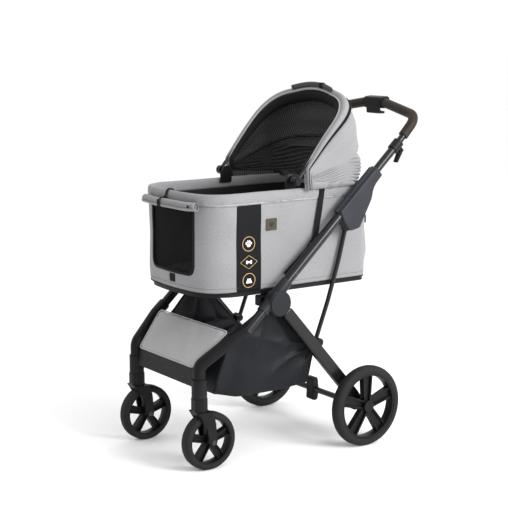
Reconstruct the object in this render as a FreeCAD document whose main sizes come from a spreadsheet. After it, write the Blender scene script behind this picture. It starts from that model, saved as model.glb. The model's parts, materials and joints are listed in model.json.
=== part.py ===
"""A pet stroller: folding tube frame on four wheels with a lift-off carrier and a hinged canopy.

Millimetres, +Z up, the front towards -Y. Every piece is drawn with Y = 0 on the rear axle and is
then moved by rear_axle_y, which puts the origin on the ground under the middle of the stroller.
"left" is the +X side.
"""
import FreeCAD, Part
import math
import os
import Sketcher

V = FreeCAD.Vector
SIDES = (("left", 1), ("right", -1))

doc = FreeCAD.newDocument("PetStroller")

# ---------------------------------------------------------------- driving dimensions

SIZES = {
    "rear_axle_y": 161.6,
    # wheels
    "rear_radius": 120.0,
    "rear_tyre_width": 36.8,
    "rear_track": 253.4,
    "front_radius": 82.5,
    "front_tyre_width": 36.8,
    "caster_track": 171.0,
    "swivel_y": -527.0,
    "front_axle_y": -498.0,
    "barrel_bottom": 209.0,
    "barrel_top": 262.0,
    "barrel_radius": 21.5,
    "swivel_pin_radius": 5.0,
    "axle_radius": 5.0,
    "running_gap": 0.05,
    "slide_gap": 0.3,
    # frame
    "frame_track": 221.0,
    "tube_angle": 42.5,
    "tube_radius": 14.0,
    "upper_tube_radius": 12.0,
    "handle_radius": 10.0,
    "stem_radius": 9.5,
    "tube_wall": 1.5,
    "hub_y": -300.0,
    "hub_z": 458.0,
    "hub_offset": 18.8,
    "hub_radius": 37.0,
    "hub_outer_x": 243.0,
    "hub_pin_radius": 4.5,
    "leg_track": 213.0,
    "leg_width": 35.0,
    "leg_thickness": 22.0,
    "bar_y": 20.0,
    "bar_z": 105.0,
    "bar_radius": 9.0,
    "strut_track": 194.5,
    "strut_radius": 6.5,
    "strut_foot_y": -143.0,
    "strut_foot_z": 321.0,
    "strut_top_y": -36.0,
    "strut_top_z": 645.0,
    "strut_pin_radius": 4.0,
    # handle
    "handle_angle": 46.5,
    "handle_rise": 98.0,
    "handle_crown": 151.0,
    "grip_radius": 14.5,
    "lever_pin_radius": 2.0,
    # carrier
    "carrier_half": 183.0,
    "carrier_front_y": -508.0,
    "carrier_rear_y": 60.0,
    "carrier_bottom": 484.0,
    "carrier_rim_bottom": 738.0,
    "carrier_top": 768.0,
    "wall": 8.0,
    # canopy
    "canopy_pivot_y": -212.0,
    "canopy_pivot_z": 790.0,
    "canopy_half": 202.0,
    "canopy_reach": 340.0,
    "canopy_angle": 48.5,
    "hoop_radius": 5.0,
    "fabric": 4.0,
}

sheet = doc.addObject("Spreadsheet::Sheet", "Sizes")
for row, (alias, number) in enumerate(SIZES.items(), start=1):
    sheet.set("A%d" % row, alias)
    sheet.set("B%d" % row, str(number))
    sheet.setAlias("B%d" % row, alias)
doc.recompute()


def size(alias):
    """The number in the sheet's cell of that name."""
    return float(sheet.get(alias))


TUBE_ANGLE = math.radians(size("tube_angle"))
ALONG = V(0, math.cos(TUBE_ANGLE), math.sin(TUBE_ANGLE))
NORMAL = V(0, -math.sin(TUBE_ANGLE), math.cos(TUBE_ANGLE))
HUB = V(0, size("hub_y"), size("hub_z"))
TUBE_FOOT = HUB + NORMAL * size("hub_offset")


def tube_point(along, off=0.0, x=0.0):
    """A point of the main tube's side plane: along the tube from beside the hub, and off it."""
    return TUBE_FOOT + ALONG * along + NORMAL * off + V(x, 0, 0)


def yz(point):
    """The side-view coordinates of a point, for a sketch in a side plane."""
    return (point.y, point.z)


# ---------------------------------------------------------------- drawing helpers

PIECES = []


def finish(piece, label):
    """Names a piece, puts it in the row's frame and lists it for export."""
    piece.Label = label
    piece.setExpression("Placement.Base.y", "Sizes.rear_axle_y")
    PIECES.append(piece)
    return piece


def new_body(label, x="0", y="0", z="0"):
    """A body whose origin is at (x, y, z), each an expression on the sheet."""
    body = doc.addObject("PartDesign::Body", label)
    body.Label = label
    body.setExpression("Placement.Base.x", x)
    body.setExpression("Placement.Base.y", "Sizes.rear_axle_y + " + y)
    body.setExpression("Placement.Base.z", z)
    PIECES.append(body)
    return body


def origin_plane(body, role):
    """The body's own origin plane with that role."""
    return next(f for f in body.Origin.OriginFeatures if f.Role == role)


def new_sketch(body, name, place=None, role="XY_Plane"):
    """A sketch on one of the body's own planes, moved by a placement."""
    sketch = body.newObject("Sketcher::SketchObject", name)
    sketch.AttachmentSupport = [(origin_plane(body, role), "")]
    sketch.MapMode = "FlatFace"
    if place is not None:
        sketch.AttachmentOffset = place
    return sketch


def side_place(x):
    """Sketch x along Y, sketch y along Z, in the side plane at x."""
    return FreeCAD.Placement(V(x, 0, 0), FreeCAD.Rotation(V(0, 1, 0), V(0, 0, 1), V(1, 0, 0)))


def facing(point, normal, across):
    """A sketch plane through a point, with a normal and its x axis across."""
    return FreeCAD.Placement(point, FreeCAD.Rotation(across, normal.cross(across), normal))


def rounded(points, radii, closed=True):
    """Straight runs through the points, each corner rounded by its radius."""
    count = len(points)
    corners = [V(p[0], p[1], 0) for p in points]
    if not isinstance(radii, (list, tuple)):
        radii = [radii] * count
    pieces = []
    ends = []
    for index in range(count):
        here = corners[index]
        radius = radii[index]
        at_end = not closed and index in (0, count - 1)
        if at_end or radius <= 0:
            ends.append((here, here, None))
            continue
        back = (corners[index - 1] - here).normalize()
        on = (corners[(index + 1) % count] - here).normalize()
        half = back.getAngle(on) / 2
        cut = radius / math.tan(half)
        start, stop = here + back * cut, here + on * cut
        centre = here + (back + on).normalize() * (radius / math.sin(half))
        turns_left = back.cross(on).z < 0
        first, last = (start, stop) if turns_left else (stop, start)
        low = math.atan2(first.y - centre.y, first.x - centre.x)
        high = math.atan2(last.y - centre.y, last.x - centre.x)
        arc = Part.ArcOfCircle(Part.Circle(centre, V(0, 0, 1), radius), low, high)
        ends.append((start, stop, arc))
    for index in range(count):
        start, stop, arc = ends[index]
        if arc:
            pieces.append(arc)
        if closed or index < count - 1:
            after = ends[(index + 1) % count][0]
            if (after - stop).Length > 1e-4:
                pieces.append(Part.LineSegment(stop, after))
    return pieces


def add_circle(sketch, centre, alias_expression):
    """A circle whose radius is bound to an expression on the sheet."""
    index = sketch.addGeometry(Part.Circle(V(centre[0], centre[1], 0), V(0, 0, 1), 5.0), False)
    fixed = sketch.addConstraint(Sketcher.Constraint("Radius", index, 5.0))
    sketch.setExpression("Constraints[%d]" % fixed, alias_expression)


def add_pad(body, sketch, length, both=False, name="Pad"):
    """Pads a sketch by an expression, to both sides or along its normal."""
    pad = body.newObject("PartDesign::Pad", name)
    pad.Profile = sketch
    pad.setExpression("Length", length)
    if both:
        pad.Midplane = True
    body.Tip = pad
    return pad


def add_pocket(body, sketch, length, both=True, reverse=False, name="Pocket"):
    """Cuts a sketch by an expression, to both sides or against its normal."""
    doc.recompute()
    before = body.Shape.Volume
    pocket = body.newObject("PartDesign::Pocket", name)
    pocket.Profile = sketch
    pocket.setExpression("Length", length)
    pocket.Midplane = both
    pocket.Reversed = reverse
    body.Tip = pocket
    doc.recompute()
    if body.Shape.Volume >= before - 1e-3:
        raise RuntimeError(body.Label + ": a pocket cut nothing")
    return pocket


def round_all(body, feature, radius):
    """Rounds every edge of a feature."""
    fillet = body.newObject("PartDesign::Fillet", "Round")
    fillet.Base = (feature, [""])
    fillet.UseAllEdges = True
    fillet.Radius = radius
    body.Tip = fillet
    return fillet


def revolve(body, sketch):
    """Turns a sketch in the XZ plane about the body's X axis."""
    turned = body.newObject("PartDesign::Revolution", "Revolution")
    turned.Profile = sketch
    turned.ReferenceAxis = (next(f for f in body.Origin.OriginFeatures if f.Role == "X_Axis"), [""])
    turned.Angle = 360.0
    body.Tip = turned
    return turned


def add_pipe(body, path, place, circles, name="Pipe", kind="PartDesign::AdditivePipe"):
    """Sweeps round profiles along an open path drawn in a plane, to add or to cut."""
    spine = new_sketch(body, name + "Spine", place)
    spine.addGeometry(path, False)
    doc.recompute()
    first = path[0]
    start = first.StartPoint
    ahead = first.EndPoint - start
    heading = place.Rotation.multVec(ahead.normalize())
    at = place.multVec(start)
    profile = new_sketch(body, name + "Profile", facing(at, heading, place.Rotation.multVec(V(0, 0, 1))))
    for expression in circles:
        add_circle(profile, (0, 0), expression)
    pipe = body.newObject(kind, name)
    pipe.Profile = profile
    pipe.Spine = (spine, [])
    body.Tip = pipe
    return pipe


def straight_tube(label, start, end, x, radius):
    """A round tube between two points of the tube line, given along it."""
    body = new_body(label)
    place = facing(tube_point(start, 0, x), ALONG, V(1, 0, 0))
    sketch = new_sketch(body, "Ring", place)
    add_circle(sketch, (0, 0), "Sizes." + radius)
    add_circle(sketch, (0, 0), "Sizes.%s - Sizes.tube_wall" % radius)
    add_pad(body, sketch, str(end - start))
    return body


def side_plate(label, x, width, outline, rounding=0.0, holes=()):
    """A plate drawn in side view, centred on x, with optional rounded edges and round holes."""
    body = new_body(label)
    sketch = new_sketch(body, "Outline", side_place(x))
    sketch.addGeometry(outline, False)
    pad = add_pad(body, sketch, width, both=True)
    if rounding:
        doc.recompute()
        round_all(body, pad, rounding)
    if holes:
        cut_holes(body, x, holes)
    return body


def cut_holes(body, x, holes):
    """Round holes through a body along X: each a centre point and a radius expression."""
    sketch = new_sketch(body, "Holes", side_place(x))
    for centre, radius in holes:
        add_circle(sketch, yz(centre), radius)
    add_pocket(body, sketch, "200", both=True)


def cylinders(label, specs):
    """Separate round pins, fused into one group: (start, direction, radius, length) each."""
    parts = [
        Part.makeCylinder(radius, length, start, direction) for start, direction, radius, length in specs
    ]
    group = doc.addObject("Part::Feature", label)
    group.Shape = Part.makeCompound(parts)
    return finish(group, label)


# ---------------------------------------------------------------- front frame

LEG_TOP = -128.0
HOUSING_LOW = -51.0
HOUSING_HIGH = 64.0
MAIN_TUBE_TOP = 345.0
SLIDER_TRAVEL = 142.0


def main_tube(side, sign):
    """The large straight tube from the front leg up to the slider."""
    track = sign * size("frame_track")
    return straight_tube("main_tube_" + side, LEG_TOP, MAIN_TUBE_TOP, track, "tube_radius")


def front_leg(side, sign):
    """The moulded leg that carries on from the main tube, curving inward and down to the barrel."""
    start = tube_point(LEG_TOP + 9, 0, sign * size("frame_track"))
    foot = V(sign * size("caster_track"), size("swivel_y"), 0)
    across = V(foot.x - start.x, foot.y - start.y, 0)
    run = across.Length
    place = facing(V(start.x, start.y, 0), across.normalize().cross(V(0, 0, 1)), across)
    elbow = size("barrel_top") + 37.0
    path = rounded(
        [(0, start.z), (run * 0.30, start.z - 22), (run, elbow), (run, size("barrel_top") - 20)],
        [0, 40, 30, 0],
        closed=False,
    )
    body = new_body("front_leg_" + side)
    add_pipe(body, path, place, ["Sizes.tube_radius + 4"], "Leg")
    foot_place = FreeCAD.Placement(V(foot.x, foot.y, size("barrel_bottom")), FreeCAD.Rotation())
    barrel = new_sketch(body, "Barrel", foot_place)
    add_circle(barrel, (0, 0), "Sizes.barrel_radius")
    add_pad(body, barrel, "Sizes.barrel_top - Sizes.barrel_bottom", name="BarrelPad")
    doc.recompute()
    socket = new_sketch(body, "Socket", facing(tube_point(LEG_TOP, 0, start.x), ALONG, V(1, 0, 0)))
    add_circle(socket, (0, 0), "Sizes.tube_radius")
    add_pocket(body, socket, "60", both=False, reverse=True, name="SocketPocket")
    spigot = new_sketch(body, "Spigot", facing(tube_point(LEG_TOP - 8, 0, start.x), ALONG, V(1, 0, 0)))
    add_circle(spigot, (0, 0), "Sizes.tube_radius - Sizes.tube_wall")
    add_pad(body, spigot, "34", name="SpigotPad")
    doc.recompute()
    bore = new_sketch(body, "PinBore", foot_place)
    add_circle(bore, (0, 0), "Sizes.swivel_pin_radius + Sizes.running_gap")
    add_pocket(body, bore, "84", both=True, name="PinPocket")
    return body


def hub_housing(side, sign):
    """The round housing on the main tube that holds the rear leg's pivot."""
    x_in = size("frame_track") - size("tube_radius") + 0.5
    x_out = size("hub_outer_x") - 4.0
    body = new_body("hub_housing_" + side)
    disc = new_sketch(body, "Disc", side_place(sign * (x_in + x_out) / 2))
    add_circle(disc, (HUB.y, HUB.z), "Sizes.hub_radius")
    pad = add_pad(body, disc, "%g" % (x_out - x_in), both=True)
    doc.recompute()
    round_all(body, pad, 2.5)
    doc.recompute()
    place = facing(tube_point(HOUSING_LOW, 0, sign * size("frame_track")), ALONG, V(1, 0, 0))
    sleeve = new_sketch(body, "Sleeve", place)
    add_circle(sleeve, (0, 0), "Sizes.tube_radius + 3.2")
    add_pad(body, sleeve, "%g" % (HOUSING_HIGH - HOUSING_LOW), name="SleevePad")
    doc.recompute()
    tube_centre = tube_point(0, 0, sign * size("frame_track"))
    bore = new_sketch(body, "TubeBore", facing(tube_centre, ALONG, V(1, 0, 0)))
    add_circle(bore, (0, 0), "Sizes.tube_radius")
    add_pocket(body, bore, "300", both=True, name="TubePocket")
    cut_holes(body, sign * size("frame_track"), [(HUB, "Sizes.hub_pin_radius")])
    return body


def hub_pins():
    """The two hub pins, each with the wide round cap that closes its housing."""
    length = size("hub_outer_x") - 192.0
    solids = []
    for _, sign in SIDES:
        inner = V(sign * 192.0, HUB.y, HUB.z)
        pin = Part.makeCylinder(size("hub_pin_radius"), length, inner, V(sign, 0, 0))
        cap_x = size("hub_outer_x") - 3.9
        cap = Part.makeCylinder(size("hub_radius") - 3.2, 3.9, V(sign * cap_x, HUB.y, HUB.z), V(sign, 0, 0))
        outer = [e for e in cap.Edges if abs(e.BoundBox.Center.x) > size("hub_outer_x") - 0.1]
        cap = cap.makeFillet(1.6, outer)
        solids.append(pin.fuse(cap).removeSplitter())
    group = doc.addObject("Part::Feature", "hub_pins")
    group.Shape = Part.makeCompound(solids)
    return finish(group, "hub_pins")


def front_beam():
    """The cross member between the front legs, below the basket's front panel."""
    outline = rounded([(-536, 236), (-521, 231), (-512, 284), (-527, 290)], 5)
    return side_plate("front_beam", 0, "2 * (Sizes.caster_track - Sizes.barrel_radius)", outline, 0)


def storage_basket():
    """The basket's soft shell: front, floor, rear and high sides, open at the top."""
    half = 185.0
    wall = 5.0
    outer = rounded(
        [(-508, 240), (-420, 366), (-345, 425), (-270, 428),
         (-140, 290), (-156, 193), (-402, 188), (-470, 204)],
        [18, 10, 20, 20, 8, 22, 60, 40],
    )
    inner = rounded(
        [(-500, 243), (-414, 366), (-414, 520), (-146, 520),
         (-146, 290), (-161, 199), (-402, 194), (-470, 210)],
        [14, 8, 0, 0, 8, 18, 60, 40],
    )
    body = side_plate("storage_basket", 0, "%g" % (2 * half), outer)
    hollow = new_sketch(body, "Hollow", side_place(0))
    hollow.addGeometry(inner, False)
    add_pocket(body, hollow, "%g" % (2 * (half - wall)), name="HollowPocket")
    corners = new_sketch(body, "FrontCorners")
    for sign in (1, -1):
        corner = [(sign * 148, -530), (sign * 148, -500), (sign * 184.9, -418),
                  (sign * 200, -418), (sign * 200, -530)]
        corners.addGeometry(rounded(corner, 0), False)
    add_pocket(body, corners, "2000", name="CornerPocket")
    return body


def basket_panel():
    """The padded panel that covers the front of the basket, wider at its top."""
    low, high = V(0, -531, 289), V(0, -436, 385)
    up = (high - low).normalize()
    place = facing(low, V(1, 0, 0).cross(up), V(1, 0, 0))
    tall = (high - low).Length
    body = new_body("basket_panel")
    sketch = new_sketch(body, "Outline", place)
    sketch.addGeometry(rounded([(-146, 0), (146, 0), (182, tall), (-182, tall)], [14, 14, 10, 10]), False)
    pad = add_pad(body, sketch, "8")
    doc.recompute()
    round_all(body, pad, 2.5)
    return body


POST_X = 172.0


def carrier_adapters():
    """The two brackets on the inner side of the hubs, each with the post that the carrier drops on."""
    solids = []
    for _, sign in SIDES:
        plate = Part.makeBox(28.0, 60.0, 30.0, V(-8.5 if sign > 0 else -19.5, HUB.y - 36.0, 446.0))
        plate = plate.makeFillet(4.0, plate.Edges)
        post = Part.makeBox(10.0, 24.0, 30.0, V(-5.0, HUB.y - 18.0, 470.0))
        bracket = plate.fuse(post).removeSplitter()
        bracket.translate(V(sign * POST_X, 0, 0))
        solids.append(bracket)
    group = doc.addObject("Part::Feature", "carrier_adapters")
    group.Shape = Part.makeCompound(solids)
    return finish(group, "carrier_adapters")


def frame_screws():
    """Small round-headed screws where the tubes meet the leg mouldings."""
    specs = []
    for _, sign in SIDES:
        outer = sign * (size("frame_track") + size("tube_radius"))
        for along in (LEG_TOP + 9.0, 96.0):
            specs.append((tube_point(along, 0, outer), V(sign, 0, 0), 2.6, 1.2))
    return cylinders("frame_screws", specs)


# ---------------------------------------------------------------- rear frame

LEG_START = 44.0
TONGUE_IN = 194.0
TONGUE_OUT = 203.3
LEG_SET_BACK = 8.0


def leg_axes():
    """In side view: the rear leg's direction, the direction across it, and where its middle starts."""
    down = (V(0, 0, size("rear_radius")) - HUB + V(0, -6, 0)).normalize()
    across = V(0, down.z, -down.y)
    return down, across, HUB - across * LEG_SET_BACK


def rear_leg(side, sign):
    """A flat oval leg, with a tongue that pivots at the hub and a foot that takes the axle."""
    down, across, start = leg_axes()
    half = size("leg_width") / 2
    length = (V(0, 0, size("rear_radius")) - HUB).Length
    x = sign * size("leg_track")
    outline = rounded(
        [
            yz(start + down * LEG_START + across * half),
            yz(start + down * (length - 12) + across * half),
            yz(start + down * (length + 16) + across * half * 0.3),
            yz(start + down * (length + 16) - across * half * 0.8),
            yz(start + down * (length - 30) - across * (half + 2)),
            yz(start + down * LEG_START - across * half),
        ],
        [12, 20, 9, 12, 60, 12],
    )
    body = side_plate("rear_leg_" + side, x, "Sizes.leg_thickness", outline, 5.5)
    doc.recompute()
    tongue_x = sign * (TONGUE_IN + TONGUE_OUT) / 2
    tongue = new_sketch(body, "Tongue", side_place(tongue_x))
    reach = 86.0
    width = 27.0
    tongue.addGeometry(
        rounded(
            [
                yz(HUB - down * width + across * width),
                yz(start + down * reach + across * (half - 3)),
                yz(start + down * reach - across * (half - 3)),
                yz(HUB - down * width - across * width),
            ],
            [23, 10, 10, 23],
        ),
        False,
    )
    add_pad(body, tongue, "%g" % (TONGUE_OUT - TONGUE_IN), both=True, name="TonguePad")
    doc.recompute()
    cut_holes(
        body,
        x,
        [(HUB, "Sizes.hub_pin_radius + Sizes.running_gap"),
         (V(0, 0, size("rear_radius")), "Sizes.axle_radius")],
    )
    return body


def rear_cross_bar():
    """The tube between the two feet, with a moulded block at each end that joins it to the leg."""
    reach = size("leg_track") - size("leg_thickness") / 2
    centre = V(0, size("bar_y"), size("bar_z"))
    bar = Part.makeCylinder(size("bar_radius"), 2 * reach, centre + V(-reach, 0, 0), V(1, 0, 0))
    solid = bar
    for _, sign in SIDES:
        block = Part.makeCylinder(21.0, 16.0, V(sign * (reach - 16.0), 6, 114), V(sign, 0, 0))
        solid = solid.fuse(block)
    group = doc.addObject("Part::Feature", "rear_cross_bar")
    group.Shape = solid.removeSplitter()
    return finish(group, "rear_cross_bar")


def rear_axles():
    """The stub axles that the rear wheels turn on."""
    inner = size("leg_track") - size("leg_thickness") / 2 + 2.0
    outer = size("rear_track") + size("rear_tyre_width") / 2 - 4.0
    specs = [
        (V(sign * inner, 0, size("rear_radius")), V(sign, 0, 0), size("axle_radius"), outer - inner)
        for _, sign in SIDES
    ]
    return cylinders("rear_axles", specs)


def strut_brackets():
    """The lugs on the inner side of the rear legs, each with the pin that the strut turns on."""
    foot = V(0, size("strut_foot_y"), size("strut_foot_z"))
    down, across, start = leg_axes()
    half = size("leg_width") / 2 + 2.1
    solids = []
    for _, sign in SIDES:
        lug_x = 201.2
        lug = Part.makeCylinder(13.0, 15.0, V(sign * lug_x, foot.y, foot.z), V(sign, 0, 0))
        leg = Part.makeBox(60.0, 500.0, 2 * half)
        leg.Placement = FreeCAD.Placement(
            start + across * half + V(sign * 210.0 - 30.0, 0, 0), FreeCAD.Rotation(V(1, 0, 0), down, -across)
        )
        pin_start = V(sign * (lug_x - 14.2), foot.y, foot.z)
        pin = Part.makeCylinder(size("strut_pin_radius"), 14.4, pin_start, V(sign, 0, 0))
        head = Part.makeCylinder(7.0, 1.6, V(sign * (lug_x - 15.4), foot.y, foot.z), V(sign, 0, 0))
        solids.append(lug.cut(leg).fuse([pin, head]).removeSplitter())
    group = doc.addObject("Part::Feature", "strut_brackets")
    group.Shape = Part.makeCompound(solids)
    return finish(group, "strut_brackets")


def brake_pedal():
    """The foot brake: a two-lobed pedal on the cross bar."""
    centre_y, centre_z = size("bar_y"), size("bar_z")
    outline = rounded(
        [
            (centre_y - 14, centre_z - 34),
            (centre_y + 8, centre_z - 36),
            (centre_y + 13, centre_z),
            (centre_y + 8, centre_z + 40),
            (centre_y - 14, centre_z + 38),
            (centre_y - 12, centre_z),
        ],
        [10, 10, 60, 10, 10, 60],
    )
    return side_plate(
        "brake_pedal", -28.0, "34", outline, 3.0,
        [(V(0, centre_y, centre_z), "Sizes.bar_radius + Sizes.running_gap")],
    )


STRUT_BOW = 6.0


def strut(side, sign):
    """The bowed rod from the rear leg's lug up to the slider, with an eye at each end."""
    x = sign * size("strut_track")
    foot = V(0, size("strut_foot_y"), size("strut_foot_z"))
    top = V(0, size("strut_top_y"), size("strut_top_z"))
    chord = top - foot
    bow = V(0, chord.z, -chord.y).normalize() * STRUT_BOW
    path = rounded(
        [yz(foot + chord * 0.02), yz(foot + chord * 0.35 + bow), yz(foot + chord * 0.70 + bow), yz(top)],
        [0, 170, 170, 0],
        closed=False,
    )
    body = new_body("strut_" + side)
    add_pipe(body, path, side_place(x), ["Sizes.strut_radius"], "Rod")
    eyes = new_sketch(body, "Eyes", side_place(x))
    for end in (foot, top):
        add_circle(eyes, yz(end), "Sizes.strut_radius + 4.5")
    doc.recompute()
    add_pad(body, eyes, "2 * Sizes.strut_radius - 1", both=True, name="EyePad")
    doc.recompute()
    cut_holes(
        body,
        x,
        [(foot, "Sizes.strut_pin_radius + Sizes.running_gap"), (top, "Sizes.strut_pin_radius + 1")],
    )
    return body


# ---------------------------------------------------------------- slider, upper tubes and handle

COLLAR_LOW = 580.0
COLLAR_HIGH = 612.0
CROWN_RADIUS = 150.0
GRIP_START = 23.0
GRIP_GAP = 46.0
BOW_CORNER = 46.0


def slider_housing(side, sign):
    """The wedge-shaped moulding that slides on the main tube and takes the strut's upper end."""
    x_in, x_out = 203.5, 241.0
    x = sign * (x_in + x_out) / 2
    outline = rounded(
        [
            yz(tube_point(318, 17)),
            yz(tube_point(308, -16)),
            yz(tube_point(304, -50)),
            yz(tube_point(336, -69)),
            yz(tube_point(424, -38)),
            yz(tube_point(450, -18)),
            yz(tube_point(496, -16)),
            yz(tube_point(496, 16)),
        ],
        [5, 30, 12, 14, 60, 60, 5, 5],
    )
    body = side_plate("slider_housing_" + side, x, "%g" % (x_out - x_in), outline, 4.5)
    doc.recompute()
    rib = new_sketch(body, "Rib", facing(tube_point(316, 0, sign * size("frame_track")), ALONG, V(1, 0, 0)))
    add_circle(rib, (0, 0), "Sizes.tube_radius + 4")
    add_pad(body, rib, "180", name="RibPad")
    doc.recompute()
    track = sign * size("frame_track")
    bore_start, bore_end = 280, MAIN_TUBE_TOP + SLIDER_TRAVEL + 4
    wide = new_sketch(body, "MainBore", facing(tube_point(bore_start, 0, track), ALONG, V(1, 0, 0)))
    add_circle(wide, (0, 0), "Sizes.tube_radius + Sizes.slide_gap")
    add_pocket(body, wide, "%g" % (bore_end - bore_start), both=False, reverse=True, name="MainPocket")
    narrow = new_sketch(body, "UpperBore", facing(tube_point(340, 0, track), ALONG, V(1, 0, 0)))
    add_circle(narrow, (0, 0), "Sizes.upper_tube_radius")
    add_pocket(body, narrow, "260", both=False, reverse=True, name="UpperPocket")
    return body


def lever_pivot():
    """The axis of the collar levers, in side view."""
    return tube_point(COLLAR_LOW + 17, -24.0)


def collars():
    """The height-adjustment collars at the top of the upper tubes, each with its lever's lug."""
    solids = []
    for _, sign in SIDES:
        x = sign * size("frame_track")
        low = tube_point(COLLAR_LOW, 0, x)
        sleeve = Part.makeCylinder(size("upper_tube_radius") + 4.0, COLLAR_HIGH - COLLAR_LOW, low, ALONG)
        lug = Part.makeBox(8.0, 16.0, 22.0)
        lug.Placement = facing(tube_point(COLLAR_LOW + 6, -14, x - 4.0), ALONG, V(1, 0, 0))
        bore = size("lever_pin_radius") + size("running_gap")
        lug = lug.cut(Part.makeCylinder(bore, 20.0, lever_pivot() + V(x - 10.0, 0, 0), V(1, 0, 0)))
        shell = sleeve.fuse(lug).removeSplitter()
        below = COLLAR_HIGH - COLLAR_LOW - 8.0
        shell = shell.cut(Part.makeCylinder(size("upper_tube_radius"), below, low, ALONG))
        stem = Part.makeCylinder(size("stem_radius") + 0.3, 60.0, low, ALONG)
        solids.append(shell.cut(stem))
    group = doc.addObject("Part::Feature", "collars")
    group.Shape = Part.makeCompound(solids)
    return finish(group, "collars")


def collar_lever(side, sign):
    """The small lever behind a collar that frees the handle's height adjustment."""
    pivot = lever_pivot()
    tip = tube_point(COLLAR_LOW - 16, -36.0)
    along = (tip - pivot).normalize()
    across = V(0, -along.z, along.y)
    outline = rounded(
        [
            yz(pivot - along * 5.5 + across * 5.5),
            yz(tip + across * 3),
            yz(tip - across * 3),
            yz(pivot - along * 5.5 - across * 5.5),
        ],
        [5, 2.5, 2.5, 5],
    )
    x = sign * size("frame_track")
    body = side_plate("collar_lever_" + side, x, "16", outline, 1.5)
    doc.recompute()
    slot = new_sketch(body, "LugSlot", side_place(x))
    slot.addGeometry(Part.Circle(V(pivot.y, pivot.z, 0), V(0, 0, 1), 21.0), False)
    add_pocket(body, slot, "8.6", name="SlotPocket")
    pin = new_sketch(body, "Pin", side_place(x))
    add_circle(pin, yz(pivot), "Sizes.lever_pin_radius")
    add_pad(body, pin, "12", both=True, name="PinPad")
    return body


def handle_frame():
    """The plane that the handle's bow lies in: its lower ends on the tube line at the collars."""
    base = tube_point(COLLAR_HIGH + 1.0)
    angle = math.radians(size("handle_angle"))
    up = V(0, math.cos(angle), math.sin(angle))
    return base, up, facing(base, V(1, 0, 0).cross(up), V(1, 0, 0))


def handle_path(start, stop=None):
    """The handle's centreline from a height on the left arm, to the right arm or to an x on the bow."""
    half, rise, crown = size("frame_track"), size("handle_rise"), size("handle_crown")
    if stop is None:
        return rounded(
            [(half, start), (half, rise), (0, crown), (-half, rise), (-half, start)],
            [0, BOW_CORNER, CROWN_RADIUS, BOW_CORNER, 0],
            closed=False,
        )
    on_bow = rise + (crown - rise) * (half - stop) / half
    return rounded([(half, start), (half, rise), (stop, on_bow)], [0, BOW_CORNER, 0], closed=False)


def handlebar():
    """The bent handle tube, with the straight stems that telescope into the upper tubes."""
    base, up, place = handle_frame()
    body = new_body("handlebar")
    add_pipe(body, handle_path(0.0), place, ["Sizes.handle_radius"], "Bow")
    doc.recompute()
    for side, sign in SIDES:
        start = tube_point(COLLAR_LOW - 110, 0, sign * size("frame_track"))
        stem = new_sketch(body, "Stem_" + side, facing(start, ALONG, V(1, 0, 0)))
        add_circle(stem, (0, 0), "Sizes.stem_radius")
        add_pad(body, stem, "%g" % (COLLAR_HIGH + 5 - COLLAR_LOW + 110), name="StemPad_" + side)
        doc.recompute()
    return body


def handle_grip(side, sign):
    """The stitched sleeve over one half of the handle, from above the collar to the middle housing."""
    base, up, place = handle_frame()
    body = new_body("handle_grip_" + side)
    if sign < 0:
        turned = FreeCAD.Rotation(V(-1, 0, 0), up, V(-1, 0, 0).cross(up))
        place = FreeCAD.Placement(base, turned)
    radii = ["Sizes.grip_radius", "Sizes.handle_radius"]
    add_pipe(body, handle_path(GRIP_START, GRIP_GAP), place, radii, "Sleeve")
    return body


def bar_middle():
    """The middle of the handle's bow, and the direction up its plane."""
    base, up, place = handle_frame()
    slope = math.atan((size("handle_crown") - size("handle_rise")) / size("frame_track"))
    crown_drop = CROWN_RADIUS * (1 / math.cos(slope) - 1)
    return base + up * (size("handle_crown") - crown_drop), up


def handle_housing():
    """The housing round the middle of the handle, which holds the fold lever's pivot."""
    middle, up = bar_middle()
    body = new_body("handle_housing")
    place = side_place(0)
    outline = rounded(
        [
            (middle.y - 20, middle.z + 12),
            (middle.y - 20, middle.z - 21),
            (middle.y + 4, middle.z - 22),
            (middle.y + 18, middle.z - 12),
            (middle.y + 16, middle.z + 16),
        ],
        [8, 5, 10, 9, 9],
    )
    sketch = new_sketch(body, "Section", place)
    sketch.addGeometry(outline, False)
    pad = add_pad(body, sketch, "82", both=True)
    doc.recompute()
    round_all(body, pad, 3.0)
    doc.recompute()
    rise, crown, half = size("handle_rise"), size("handle_crown"), size("frame_track")
    reach = 60.0
    low = crown - (crown - rise) * reach / half
    path = rounded([(reach, low), (0, crown), (-reach, low)], [0, CROWN_RADIUS, 0], closed=False)
    add_pipe(
        body, path, handle_frame()[2], ["Sizes.handle_radius"], "Bore", kind="PartDesign::SubtractivePipe"
    )
    doc.recompute()
    groove = new_sketch(body, "LeverGroove", place)
    groove.addGeometry(Part.Circle(V(*fold_pivot(), 0), V(0, 0, 1), FOLD_BARREL + 0.4), False)
    add_pocket(body, groove, "60", name="GroovePocket")
    return body


FOLD_BARREL = 3.4


def fold_pivot():
    """The fold lever's axis, in side view."""
    middle, up = bar_middle()
    return (middle.y - 15, middle.z - 21)


def fold_lever():
    """The squeeze lever under the middle housing that unlocks the fold."""
    middle, up = bar_middle()
    outline = rounded(
        [
            (middle.y - 18, middle.z - 21),
            (middle.y - 16, middle.z - 38),
            (middle.y + 6, middle.z - 38),
            (middle.y + 9, middle.z - 31),
            (middle.y - 8, middle.z - 29),
            (middle.y - 12, middle.z - 21),
        ],
        [0.5, 5, 3, 3, 5, 0.5],
    )
    body = side_plate("fold_lever", 0, "58", outline)
    barrel = new_sketch(body, "Barrel", side_place(0))
    barrel.addGeometry(Part.Circle(V(*fold_pivot(), 0), V(0, 0, 1), FOLD_BARREL), False)
    add_pad(body, barrel, "58", both=True, name="BarrelPad")
    return body


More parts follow.
